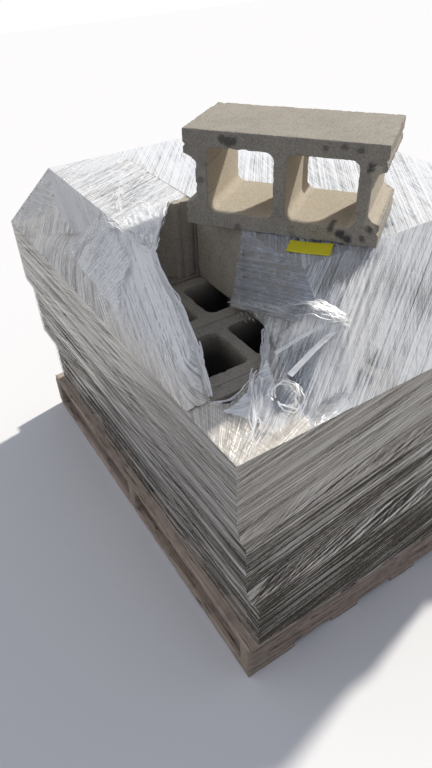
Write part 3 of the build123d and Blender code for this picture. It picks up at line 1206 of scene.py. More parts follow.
        face = self.patch(
            self.line((78, 650, 905), (78, 690, 852), (78, 790, 796), (78, 870, 766), (78, 988, 800)),
            self.line((78, 652, 906), (78, 700, 906), (78, 800, 906), (78, 880, 906), (78, 988, 906)),
            Ply(1.0, 0.0, 0.7, 2.0, 8.0, 150.0, 9, 0.6),
            pull=(0.5, 1.0), matched=True,
        )
        return join([near, left, gather, drape, face])

    def back(self) -> Surface:
        """The slopes behind and to the right, which the photograph doesn't show.

        Returns:
            The right slope, the far slope and the patch that joins them to the left side.
        """
        ply = Ply(0.72, 0.2, 0.6, 2.2, 12.0, 170.0, 10, 0.9)
        right = self.patch(
            self.line((992, -15, 711), (992, 1188, 711)), self.line((877, 180, 906), (877, 988, 906)),
            ply, counts=(110, 26),
        )
        far = self.patch(
            self.line((992, 1188, 711), (-8, 1188, 711)), self.line((877, 988, 906), (78, 988, 906)),
            ply, counts=(110, 26),
        )
        corner = self.patch(
            self.line((-8, 1188, 711), (-8, 1187, 711)), self.line((78, 988, 800), (78, 988, 906)),
            ply, counts=(20, 26),
        )
        # Painted shade: the right and far slopes are tinted blue-grey.
        return join([right.marked(dusk=0.8), far.marked(dusk=0.8), corner])

    def top(self) -> Surface:
        """The film over the top course, torn along the opening.

        Returns:
            The part behind the opening, the puckered folds on it, and the part to the right of the opening.
        """
        left = self.patch(
            self.line(
                (77, 396, 905), (110, 442, 905), (147, 496, 905),
                (190, 555, 905), (221, 600, 905), (276, 606, 905),
            ),
            self.line(*((across, 988, 906) for across in (79, 120, 160, 200, 240, 276))),
            Ply(0.84, 0.1, 0.9, 1.3, 9.0, 120.0, 11, 0.85),
            torn=(True, False, False, False), matched=True, pull=(1.0, -0.04),
        )
        pucker = self.patch(
            self.line((74, 402, 907), (104, 440, 907), (144, 492, 907), (188, 552, 907)),
            self.line((72, 560, 909), (104, 590, 909), (144, 620, 909), (196, 650, 909)),
            Ply(0.62, 0.0, 1.5, 3.5, 11.0, 60.0, 44, 0.3), pull=(1.0, 0.5), matched=True, feather=30.0,
        )
        right = self.patch(
            self.line((276, 180, 906), (877, 180, 906)), self.line((276, 988, 906), (877, 988, 906)),
            Ply(0.90, 0.0, 0.45, 1.1, 8.0, 110.0, 12, 0.8), pull=(0.6, 0.8),
        )
        # Painted shadow: round the loose block the film is made thinner and dark blue-grey, as in its
        # shadow.
        from_corner = right.points[:, :2] - (LOAD.origin[:2] + np.array([330.0, 200.0]))
        loose_block_shadow = np.exp(-((np.linalg.norm(from_corner, axis=1) / 230.0) ** 4))
        right.marks["veil"] = 0.9 - 0.45 * loose_block_shadow
        right.marks["dusk"] = 0.6 * loose_block_shadow
        return join([left, pucker, right])

    def flap(self) -> Surface:
        """The sheet that hangs over the plain block end beside the opening, with its lower fold.

        Returns:
            The hanging sheet and the fold along its torn edge.
        """
        hanging = self.patch(
            self.line((276, 180, 906), (275, 240, 906), (275, 300, 906), (275, 376, 906)),
            self.line((281, 92, 808), (275, 160, 790), (268, 245, 768), (257, 400, 716)),
            Ply(0.52, 0.0, 1.0, 1.2, 7.0, 140.0, 14, 0.45),
            pull=(1.0, 0.1), torn=(False, True, False, True), matched=True,
        )
        hem = self.patch(
            self.line((279, 92, 826), (271, 160, 810), (264, 245, 790), (252, 398, 738)),
            self.line((283, 84, 806), (273, 158, 786), (264, 243, 762), (252, 404, 712)),
            Ply(1.0, 0.0, 1.0, 3.0, 6.0, 90.0, 42, 0.5),
            pull=(1.0, 0.05), matched=True, feather=10.0,
        )
        # Painted shade: the hanging sheet is tinted blue-grey.
        hanging.marks["dusk"] = np.full(len(hanging.points), 0.6)
        return join([hanging, hem])

    def strands(self) -> Surface:
        """Flat folded strips, bundles of drawn-out threads and the lacy rims of the torn opening.

        Returns:
            All of them as one surface.
        """
        pieces = [
            self.strip([(174, 124, 780), (216, 112, 803), (258, 95, 826)], 11.0, 21),
            self.strip([(163, 66, 772), (222, 76, 794), (281, 84, 814)], 12.5, 22),
        ]
        bundles = (
            Bundle(
                ((254, 398, 722), (264, 245, 774), (272, 158, 795), (284, 96, 812), (304, 80, 820)),
                70, 9.0, 3.4,
            ),
            Bundle(
                ((262, 215, 794), (252, 150, 836), (264, 124, 848), (288, 98, 834), (306, 80, 816)),
                44, 13.0, 3.6,
            ),
            Bundle(((240, 244, 742), (172, 152, 732), (124, 104, 724), (84, 52, 717)), 34, 9.0, 3.4),
            Bundle(((150, 150, 722), (112, 100, 717), (60, 20, 715), (20, -6, 714)), 18, 14.0, 3.4),
            Bundle(
                (
                    (78, 400, 903), (68, 372, 884), (60, 305, 858),
                    (54, 256, 846), (44, 195, 818), (46, 150, 716),
                ),
                34, 7.0, 2.6,
            ),
            Bundle(((226, 604, 905), (147, 498, 905), (78, 398, 904)), 22, 6.0, 2.4),
            Bundle(((62, 600, 900), (70, 560, 905), (72, 470, 903), (74, 410, 900)), 16, 12.0, 3.0),
            Bundle(
                ((246, 252, 742), (172, 156, 728), (119, 137, 718), (70, 120, 714), (40, 138, 713)),
                10, 5.0, 2.4,
            ),
            Bundle(((75, 540, 906), (56, 606, 862), (40, 690, 806), (22, 775, 776)), 26, 11.0, 3.4),
            Bundle(((72, 500, 898), (40, 470, 812), (12, 420, 752)), 20, 14.0, 2.8),
            Bundle(((90, 590, 908), (140, 690, 908), (210, 800, 908)), 16, 16.0, 3.0),
        )
        for seed, bundle in enumerate(bundles, 60):
            pieces += self.bundle(bundle, seed)
        for seed, (x, y, z) in enumerate(LACE, 200):
            turn = np.linspace(0.0, 2.0 * np.pi, 14)
            loop = [(x + 1.5 * np.cos(a), y + 11.0 * np.cos(a + 0.6), z + 9.0 * np.sin(a)) for a in turn]
            pieces.append(self.strip(loop, 2.2, seed))
        return join(pieces)

    def bundle(self, bundle: Bundle, seed: int) -> list[Surface]:
        """Threads that follow one line.

        Args:
            bundle: the line, and how many threads there are and how far they spread.
            seed: starts the draws.

        Returns:
            The threads, each over its own part of the line and wandering off it by noise.
        """
        rng = np.random.default_rng(seed)
        path = self.line(*bundle.places) - LOAD.origin
        full = resampled(path, 60)
        threads = []
        for index in range(bundle.count):
            first, last = np.sort(rng.uniform(-0.15, 1.15, 2))
            if last - first < 0.25:
                last = first + 0.25
            share = np.unique(np.clip(np.linspace(first, last, 22), 0.0, 1.0))
            if len(share) < 6:
                continue
            own = share * 59.0
            line = np.stack([np.interp(own, np.arange(60), full[:, axis]) for axis in range(3)], -1)
            offset = rng.normal(0.0, bundle.spread * 0.45, 3)
            place = line / 38.0 + 17.0 * index
            wander = np.stack([layered_noise(place, seed + axis) for axis in range(3)], -1) * bundle.spread
            line = line + offset + wander + [0.0, 0.0, 3.0 + 0.3 * bundle.spread]
            width = bundle.width * rng.uniform(0.3, 1.2)
            threads.append(self.strip(line, width, seed + index))
        return threads

    def strip(self, places: list | Array, width: float, seed: int) -> Surface:
        """A strip that follows a line and wavers by up to 2 mm.

        Args:
            places: points of the line.
            width: of the strip, which lies level across the line and changes by 15%.
            seed: picks the noise.

        Returns:
            The strip, 3 mm above its line. One wider than 8 mm is a folded band, a narrower one a thread.
        """
        band = width > 8.0
        count, wide = (40, 6) if band else (16, 3)
        path = resampled(self.line(*places), count)
        ahead = np.gradient(path, axis=0)
        beside = np.cross(ahead, [0.0, 0.0, 1.0])
        beside /= np.linalg.norm(beside, axis=1, keepdims=True)
        share = np.linspace(-0.5, 0.5, wide)
        grown = width * (1.0 + 0.15 * layered_noise(path / 30.0, seed))
        points = path[:, None] + beside[:, None] * (share[None] * grown[:, None])[..., None]
        points[..., 2] += 2.0 * layered_noise(points / 14.0, seed + 1) + 3.0
        along = np.broadcast_to(lengths_along(path)[:, None], (count, wide))
        lay = np.stack([share[None] * grown[:, None], along, np.full((count, wide), seed * 7.0)], -1)
        strip = grid_surface(points, lay=lay, crossing=lay)
        return strip.marked(veil=1.3 if band else 0.9, warm=0.1, crackle=0.1, streak=0.3)


# Pallet and tag


def box_surface(low: Array, high: Array, steps: Array) -> Surface:
    """A box of six grids welded together.

    Args:
        low, high: its corners.
        steps: the distance between points on each axis.

    Returns:
        The box, with the distance of each point from the nearest arris as its gap.
    """
    grids = []
    for axis in range(3):
        u, v = (axis + 1) % 3, (axis + 2) % 3
        counts = [max(2, int(round((high[k] - low[k]) / steps[k])) + 1) for k in (u, v)]
        first, second = np.meshgrid(
            np.linspace(low[u], high[u], counts[0]),
            np.linspace(low[v], high[v], counts[1]),
            indexing="ij",
        )
        for side in (0, 1):
            points = np.empty((*first.shape, 3))
            points[..., u], points[..., v] = first, second
            points[..., axis] = (low, high)[side][axis]
            grids.append(grid_surface(points, flip=side == 0))
    whole = weld(join(grids))
    away = np.sort(np.minimum(whole.points - low, high - whole.points), axis=1)
    whole.marks["gap"] = away[:, 1]
    return whole


@dataclass
class Pallet:
    """Sawn boards with worn edges and grain.

    The grain moves the faces by noise that is 32 times longer than wide, and the arrises lose a little
    everywhere and several millimetres in places.
    """

    step: float = 6.0
    step_along: float = 14.0
    grain_width: float = 5.0
    grain_length: float = 160.0
    grain_depth: float = 0.45
    worn: float = 0.9
    split: float = 4.0
    frayed_reach: float = 14.0

    def board(self, node: str, length_axis: int, seed: int) -> Surface:
        """A board in the place of a packed one.

        Args:
            node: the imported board's name.
            length_axis: the axis along which it was sawn.
            seed: picks its grain and its tone.

        Returns:
            The board. Its lay has the length first, so that the grain can be drawn along it.
        """
        low, high = (np.array(corner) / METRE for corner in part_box(node))
        steps = np.full(3, self.step)
        steps[length_axis] = self.step_along
        shape = box_surface(low, high, steps)
        stretch = np.full(3, self.grain_width)
        stretch[length_axis] = self.grain_length
        grain = layered_noise(shape.points / stretch, seed)
        split = np.maximum(layered_noise(shape.points / 24.0, seed + 3), 0.0) * self.split
        edge = np.exp(-shape.marks["gap"] / 2.5)
        loss = self.grain_depth * np.abs(grain) + (self.worn + split) * edge
        shape.points = shape.points - shape.normals() * loss[:, None]
        lay = shape.points.copy()
        lay[:, [0, length_axis]] = lay[:, [length_axis, 0]]
        shape.marks["lay"] = lay + [0.0, 0.0, 370.0 * seed]
        along = shape.points[:, length_axis]
        ends = np.minimum(along - low[length_axis], high[length_axis] - along)
        tone = lattice_values(np.array([[seed, 5, 1]]), 4)[0]
        return shape.marked(frayed=np.exp(-ends / self.frayed_reach), tone=tone)


@dataclass
class Tag:
    """The bare card on the film: the lift of its free corners grows with the square of the distance."""

    half_length: float = 43.0
    half_width: float = 25.0
    thickness: float = 0.6
    corner_lift: float = 1.4
    end_lift: float = 0.6

    def card(self) -> Surface:
        """The card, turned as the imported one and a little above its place.

        Returns:
            The card in the frame of the part.
        """
        low, high = (np.array(corner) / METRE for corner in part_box("lot_tag"))
        middle = (low + high) / 2
        half = np.array([self.half_length, self.half_width, 0.0])
        top = np.array([self.half_length, self.half_width, self.thickness])
        card = box_surface(-half, top, np.array([3.0, 3.0, 0.3]))
        x, y = card.points[:, 0] / self.half_length, card.points[:, 1] / self.half_width
        card.points[:, 2] += self.corner_lift * np.maximum(x * y, 0.0) ** 2 + self.end_lift * x**2
        return card.moved(turned(LOAD.loose_turn + 4.8), np.array([middle[0], middle[1], low[2] + 0.8]))


# Materials


class Shader:
    """A node tree being built: each call adds a node and gives its first output or the named one."""

    def __init__(self, name: str) -> None:
        """Starts a material with its Principled node.

        Args:
            name: of the material.
        """
        self.material = bpy.data.materials.new(name)
        self.material.use_nodes = True
        self.nodes = self.material.node_tree.nodes
        self.links = self.material.node_tree.links
        self.surface = self.nodes["Principled BSDF"]
        self.output = self.nodes["Material Output"]

    def set(self, socket: Socket, value: object) -> None:
        """Links a socket or sets its value.

        Args:
            socket: an input.
            value: the output to link to it, or its value.
        """
        if isinstance(value, Socket):
            self.links.new(value, socket)
        else:
            socket.default_value = value

    def node(
        self, kind: str, output: str | int = 0, inputs: dict | None = None, **fields: object
    ) -> Socket:
        """Adds a node.

        Args:
            kind: its type.
            output: name or number of the output that is given back.
            inputs: for its inputs, by name or number, an output to link or a value.
            fields: its own settings.

        Returns:
            The output.
        """
        made = self.nodes.new(kind)
        for key, value in fields.items():
            setattr(made, key, value)
        for key, value in (inputs or {}).items():
            self.set(made.inputs[key], value)
        return made.outputs[output]

    def mark(self, name: str, output: str = "Fac") -> Socket:
        """A number carried by the points."""
        return self.node("ShaderNodeAttribute", output, attribute_name=name)

    def noise(self, vector: Socket, scale: float, detail: float = 4.0, roughness: float = 0.55) -> Socket:
        """Noise in 0..1 at a vector."""
        inputs = {"Vector": vector, "Scale": scale, "Detail": detail, "Roughness": roughness}
        return self.node("ShaderNodeTexNoise", "Fac", inputs)

    def math(
        self,
        operation: str,
        first: Socket | float,
        second: Socket | float = 0.0,
        third: Socket | float = 0.0,
        clamp: bool = False,
    ) -> Socket:
        """One operation on up to three numbers."""
        inputs = {0: first, 1: second, 2: third}
        return self.node("ShaderNodeMath", 0, inputs, operation=operation, use_clamp=clamp)

    def ramp(
        self, value: Socket, low: float, high: float, to_low: float = 0.0, to_high: float = 1.0
    ) -> Socket:
        """The value's range low..high carried to to_low..to_high, smoothly and no further."""
        return self.node(
            "ShaderNodeMapRange", 0,
            {0: value, 1: low, 2: high, 3: to_low, 4: to_high},
            interpolation_type="SMOOTHSTEP", clamp=True,
        )

    def mix(self, share: Socket | float, first: Socket | Colour, second: Socket | Colour) -> Socket:
        """Mixes two colours.

        Args:
            share: how much of the second shows.
            first, second: outputs or colours.

        Returns:
            The mixed colour.
        """
        made = self.nodes.new("ShaderNodeMix")
        made.data_type = "RGBA"
        self.set(made.inputs["Factor"], share)
        for key, value in ((6, first), (7, second)):
            self.set(made.inputs[key], (*value, 1.0) if isinstance(value, tuple) else value)
        return made.outputs[2]

    def scaled(self, vector: Socket, scale: Place) -> Socket:
        """A vector stretched on each axis."""
        return self.node("ShaderNodeMapping", 0, {"Vector": vector, "Scale": scale})

    def bump(self, height: Socket, strength: float, distance: float) -> Socket:
        """A normal moved by a height."""
        inputs = {"Height": height, "Strength": strength, "Distance": distance}
        return self.node("ShaderNodeBump", 0, inputs)

    def place(self) -> Socket:
        """The object's own coordinates."""
        return self.node("ShaderNodeTexCoord", "Object")

    def finish(self, **inputs: Socket | float) -> bpy.types.Material:
        """Sets the Principled node's inputs.

        Args:
            inputs: for each of the names below an output or a value.

        Returns:
            The material.
        """
        names = {
            "colour": "Base Color",
            "roughness": "Roughness",
            "specular": "Specular IOR Level",
            "index": "IOR",
            "alpha": "Alpha",
            "normal": "Normal",
        }
        for name, value in inputs.items():
            self.set(self.surface.inputs[names[name]], value)
        return self.material


@dataclass(frozen=True)
class ConcreteFinish:
    """Dry-pressed grey concrete with open grain, wear and damp spots.

    Its colour is multiplied by the shade, and the tint is how strong its hue is. Marks paint light into
    some hollows and shade into others.
    """

    name: str
    shade: float
    tint: float = 1.0
    dark: Colour = (0.44, 0.405, 0.345)
    light: Colour = (0.53, 0.485, 0.41)
    cloud: Colour = (0.27, 0.245, 0.22)
    # Painted light: the paler, warmer colour of sunlit hollows.
    pale: Colour = (0.92, 0.81, 0.62)
    dark_grain: Colour = (0.27, 0.24, 0.21)
    light_grain: Colour = (0.68, 0.62, 0.52)
    pore: Colour = (0.12, 0.11, 0.10)
    dark_speck: Colour = (0.20, 0.18, 0.16)
    light_speck: Colour = (0.86, 0.79, 0.67)
    worn: Colour = (0.62, 0.57, 0.50)
    # Colour of the damp spots and of the painted shade deep in cores.
    damp_and_shade: Colour = (0.05, 0.047, 0.048)
    rust: Colour = (0.085, 0.06, 0.04)

    def material(self) -> bpy.types.Material:
        """Builds the finish.

        Returns:
            A material in which marks lay one colour over another: painted light, wear, damp spots with
            painted shade, and a dark band.
        """
        shader = Shader(self.name)
        place = shader.place()
        patches = shader.noise(place, 7.0, 4.0)
        cloud = shader.noise(place, 38.0, 5.0, 0.65)
        grain = shader.noise(place, 300.0, 5.0, 0.8)
        pits = shader.node("ShaderNodeTexVoronoi", "Distance", {"Vector": place, "Scale": 210.0})
        pores = shader.ramp(pits, 0.1, 0.34, 1.0, 0.0)
        spread = shader.ramp(shader.noise(place, 60.0, 2.0), 0.5, 0.66)
        pores = shader.math("MULTIPLY", pores, spread)
        body = shader.mix(shader.ramp(patches, 0.35, 0.65), self.dark, self.light)
        body = shader.mix(shader.ramp(cloud, 0.4, 0.7, 0.0, 0.32), body, self.cloud)
        # Painted light in the marked hollows.
        body = shader.mix(shader.math("MULTIPLY", shader.mark("pale"), 0.64), body, self.pale)
        body = shader.mix(shader.ramp(grain, 0.3, 0.5, 0.5, 0.0), body, self.dark_grain)
        body = shader.mix(shader.ramp(grain, 0.42, 0.66, 0.0, 0.75), body, self.light_grain)
        body = shader.mix(shader.math("MULTIPLY", pores, 0.55), body, self.pore)
        specks = shader.noise(place, 230.0, 2.0, 0.7)
        body = shader.mix(shader.ramp(specks, 0.34, 0.5, 0.18, 0.0), body, self.dark_speck)
        body = shader.mix(shader.ramp(specks, 0.5, 0.66, 0.0, 0.18), body, self.light_speck)
        tone = shader.math("MULTIPLY_ADD", shader.mark("tone"), 0.08, self.shade)
        body = shader.mix(shader.math("MULTIPLY", shader.mark("wear"), 0.35), body, self.worn)
        inputs = {"Color": body, "Value": tone, "Saturation": self.tint}
        body = shader.node("ShaderNodeHueSaturation", 0, inputs)
        # Damp spots, and painted shade deep in the cores.
        body = shader.mix(shader.math("MULTIPLY", shader.mark("stain"), 0.9), body, self.damp_and_shade)
        # The dark brown band on a core wall.
        body = shader.mix(shader.math("MULTIPLY", shader.mark("rust"), 0.8), body, self.rust)
        height = shader.math("MULTIPLY_ADD", grain, 0.6, shader.math("MULTIPLY", cloud, 0.5))
        height = shader.math("SUBTRACT", height, shader.math("MULTIPLY", pores, 0.7))
        normal = shader.bump(height, 0.75, 0.0016)
        return shader.finish(colour=body, roughness=0.93, specular=0.2, normal=normal)


@dataclass(frozen=True)
class FilmFinish:
    """Clear film in many layers: streaks along its pull and crackled creases decide how much of it shows.

    A lamp's ray meets only a part of that cover, because real film lets most light through.
    """

    name: str = "layered_film"
    dull: Colour = (0.72, 0.76, 0.82)
    bright: Colour = (0.96, 0.97, 0.98)
    warm_dull: Colour = (0.47, 0.40, 0.31)
    warm_bright: Colour = (0.97, 0.93, 0.86)
    # Painted shade: the dark blue-grey that the film's colour turns to where it stands in shade.
    dusk: Colour = (0.36, 0.44, 0.57)
    least: float = 0.04
    most: float = 0.985
    passed: float = 0.62
    roughness: float = 0.28
    index: float = 2.1

    def material(self) -> bpy.types.Material:
        """The finish as a material.

        Returns:
            A Principled material whose alpha is the mark veil plus streaks, clouds and creases.
        """
        shader = Shader(self.name)
        lay = shader.mark("lay", "Vector")
        place = shader.place()
        threads = shader.noise(shader.scaled(lay, (430.0, 2.0, 1.0)), 1.0, 3.0, 0.6)
        strands = shader.noise(shader.scaled(lay, (190.0, 1.3, 1.0)), 1.0, 3.0, 0.55)
        bands = shader.noise(shader.scaled(lay, (60.0, 1.0, 1.0)), 1.0, 3.0, 0.5)
        pull = shader.math("MULTIPLY_ADD", strands, 0.33, shader.math("MULTIPLY", bands, 0.17))
        pull = shader.math("MULTIPLY_ADD", threads, 0.50, pull)
        crossing = shader.scaled(shader.mark("crossing", "Vector"), (260.0, 2.2, 1.0))
        across = shader.noise(crossing, 1.0, 3.0, 0.6)
        pull = shader.math("MULTIPLY_ADD", across, 0.2, shader.math("MULTIPLY", pull, 0.8))
        clouds = shader.noise(place, 9.0, 3.0, 0.55)
        dashes = shader.noise(shader.scaled(lay, (150.0, 34.0, 1.0)), 1.0, 4.0, 0.65)
        wobble = shader.node("ShaderNodeTexNoise", "Color", {"Vector": place, "Scale": 24.0, "Detail": 3.0})
        both = {0: shader.scaled(lay, (105.0, 36.0, 1.0)), 1: shader.scaled(wobble, (3.0, 3.0, 3.0))}
        bent = shader.node("ShaderNodeVectorMath", 0, both, operation="ADD")
        inputs = {"Vector": bent, "Scale": 1.0}
        edges = shader.node("ShaderNodeTexVoronoi", "Distance", inputs, feature="DISTANCE_TO_EDGE")
        patches = shader.ramp(shader.noise(place, 30.0, 3.0), 0.42, 0.62)
        creases = shader.math("MULTIPLY", shader.ramp(edges, 0.0, 0.10, 1.0, 0.0), patches)
        creases = shader.math("MAXIMUM", creases, shader.ramp(dashes, 0.52, 0.68, 0.0, 0.7))
        creases = shader.math("MULTIPLY", creases, shader.mark("crackle"))
        streak = shader.mark("streak")
        # Painted highlight: bright thread lines, partly the film's own white threads and partly painted
        # glints, lighten its colour and thicken it.
        painted_glints = shader.math("MULTIPLY", shader.ramp(threads, 0.55, 0.70), shader.ramp(bands, 0.42, 0.62))
        spread = shader.math("MULTIPLY_ADD", painted_glints, 0.09, shader.math("SUBTRACT", pull, 0.5))
        spread = shader.math("MULTIPLY", shader.math("MULTIPLY", spread, 6.5), streak)
        shown = shader.math("ADD", spread, shader.mark("veil"))
        shown = shader.math("MULTIPLY_ADD", shader.math("SUBTRACT", clouds, 0.5), 1.1, shown)
        shown = shader.math("MULTIPLY_ADD", creases, 0.45, shown)
        alpha = shader.node("ShaderNodeClamp", 0, {"Value": shown, "Min": self.least, "Max": self.most})
        lines = shader.math("SUBTRACT", shader.ramp(pull, 0.43, 0.60), 0.9)
        lines = shader.math("MULTIPLY_ADD", lines, streak, 0.9)
        lines = shader.math("MULTIPLY_ADD", shader.mark("crackle"), -0.2, lines)
        lines = shader.math("MAXIMUM", lines, shader.math("MULTIPLY", creases, 1.2))
        lines = shader.math("MAXIMUM", lines, painted_glints, clamp=True)
        cool = shader.mix(lines, self.dull, self.bright)
        warm = shader.mix(lines, self.warm_dull, self.warm_bright)
        colour = shader.mix(shader.mark("warm"), cool, warm)
        # Painted shade: the film turns dark blue-grey by the share that its painted shade mark gives.
        colour = shader.mix(shader.mark("dusk"), colour, self.dusk)
        height = shader.math("MULTIPLY_ADD", creases, 0.3, pull)
        in_shade = shader.node("ShaderNodeLightPath", "Is Shadow Ray")
        kept = shader.math("MULTIPLY_ADD", in_shade, -self.passed, 1.0)
        alpha = shader.math("MULTIPLY", alpha, kept)
        normal = shader.bump(height, 0.6, 0.0028)
        return shader.finish(
            colour=colour, roughness=self.roughness, index=self.index, alpha=alpha, normal=normal
        )


@dataclass(frozen=True)
class WoodFinish:
    """Weathered softwood with dark lengthwise cracks and pale frayed ends."""

    name: str = "weathered_wood"
    dark: Colour = (0.42, 0.325, 0.265)
    light: Colour = (0.64, 0.52, 0.43)
    dirt: Colour = (0.20, 0.165, 0.145)
    crack: Colour = (0.05, 0.035, 0.03)
    frayed: Colour = (0.58, 0.48, 0.38)

    def material(self) -> bpy.types.Material:
        """Builds the finish.

        Returns:
            A material whose rings and cracks follow the lay, with ends that the mark frayed makes paler.
        """
        shader = Shader(self.name)
        lay = shader.mark("lay", "Vector")
        rings = shader.noise(shader.scaled(lay, (3.0, 260.0, 260.0)), 1.0, 4.0, 0.6)
        cracks = shader.noise(shader.scaled(lay, (4.0, 90.0, 90.0)), 1.0, 3.0, 0.5)
        dirt = shader.noise(shader.place(), 22.0, 4.0, 0.6)
        body = shader.mix(shader.ramp(rings, 0.35, 0.65), self.dark, self.light)
        body = shader.mix(shader.ramp(dirt, 0.45, 0.75, 0.0, 0.5), body, self.dirt)
        away = shader.math("ABSOLUTE", shader.math("SUBTRACT", cracks, 0.5))
        dark = shader.ramp(away, 0.0, 0.022, 1.0, 0.0)
        body = shader.mix(shader.math("MULTIPLY", dark, 0.85), body, self.crack)
        body = shader.mix(shader.math("MULTIPLY", shader.mark("frayed"), 0.55), body, self.frayed)
        height = shader.math("SUBTRACT", rings, shader.math("MULTIPLY", dark, 1.2))
        normal = shader.bump(height, 0.7, 0.002)
        return shader.finish(colour=body, roughness=0.85, specular=0.25, normal=normal)


@dataclass(frozen=True)
class CardFinish:
    """Bare yellow card, a little soiled."""

    name: str = "bare_card"
    yellow: Colour = (0.80, 0.73, 0.02)
    soiled: Colour = (0.55, 0.50, 0.05)

    def material(self) -> bpy.types.Material:
        """Builds the finish.

        Returns:
            A material with darker, soiled patches.
        """
        shader = Shader(self.name)
        soil = shader.noise(shader.place(), 60.0, 4.0)
        body = shader.mix(shader.ramp(soil, 0.5, 0.8, 0.0, 0.3), self.yellow, self.soiled)
        return shader.finish(colour=body, roughness=0.55)


# Scene


def add_piece(name: str, surface: Surface, material: bpy.types.Material) -> bpy.types.Object:
    """Makes a smooth mesh of a surface.

    Args:
        name: of the piece.
        surface: its shape in millimetres.
        material: its only material.

    Returns:
        The piece in metres, with the surface's numbers as attributes of its points.
    """
    mesh = bpy.data.meshes.new(name)
    count = len(surface.faces)
    mesh.vertices.add(len(surface.points))
    mesh.vertices.foreach_set("co", (surface.points * METRE).astype(np.float32).ravel())
    mesh.loops.add(4 * count)
    mesh.loops.foreach_set("vertex_index", surface.faces.astype(np.int32).ravel())
    mesh.polygons.add(count)
    mesh.polygons.foreach_set("loop_start", np.arange(0, 4 * count, 4, dtype=np.int32))
    mesh.polygons.foreach_set("use_smooth", np.ones(count, dtype=bool))
    for mark, values in surface.marks.items():
        if mark in ("gap", "deep"):
            continue
        if values.ndim == 2:
            made = mesh.attributes.new(mark, "FLOAT_VECTOR", "POINT")
            made.data.foreach_set("vector", (values * METRE).astype(np.float32).ravel())
        else:
            made = mesh.attributes.new(mark, "FLOAT", "POINT")
            made.data.foreach_set("value", values.astype(np.float32))
    mesh.update(calc_edges=True)
    mesh.validate()
    mesh.materials.append(material)
    piece = bpy.data.objects.new(name, mesh)
    bpy.context.scene.collection.objects.link(piece)
    LOG.info("%s: %d points, %d triangles", name, len(surface.points), 2 * count)
    return piece


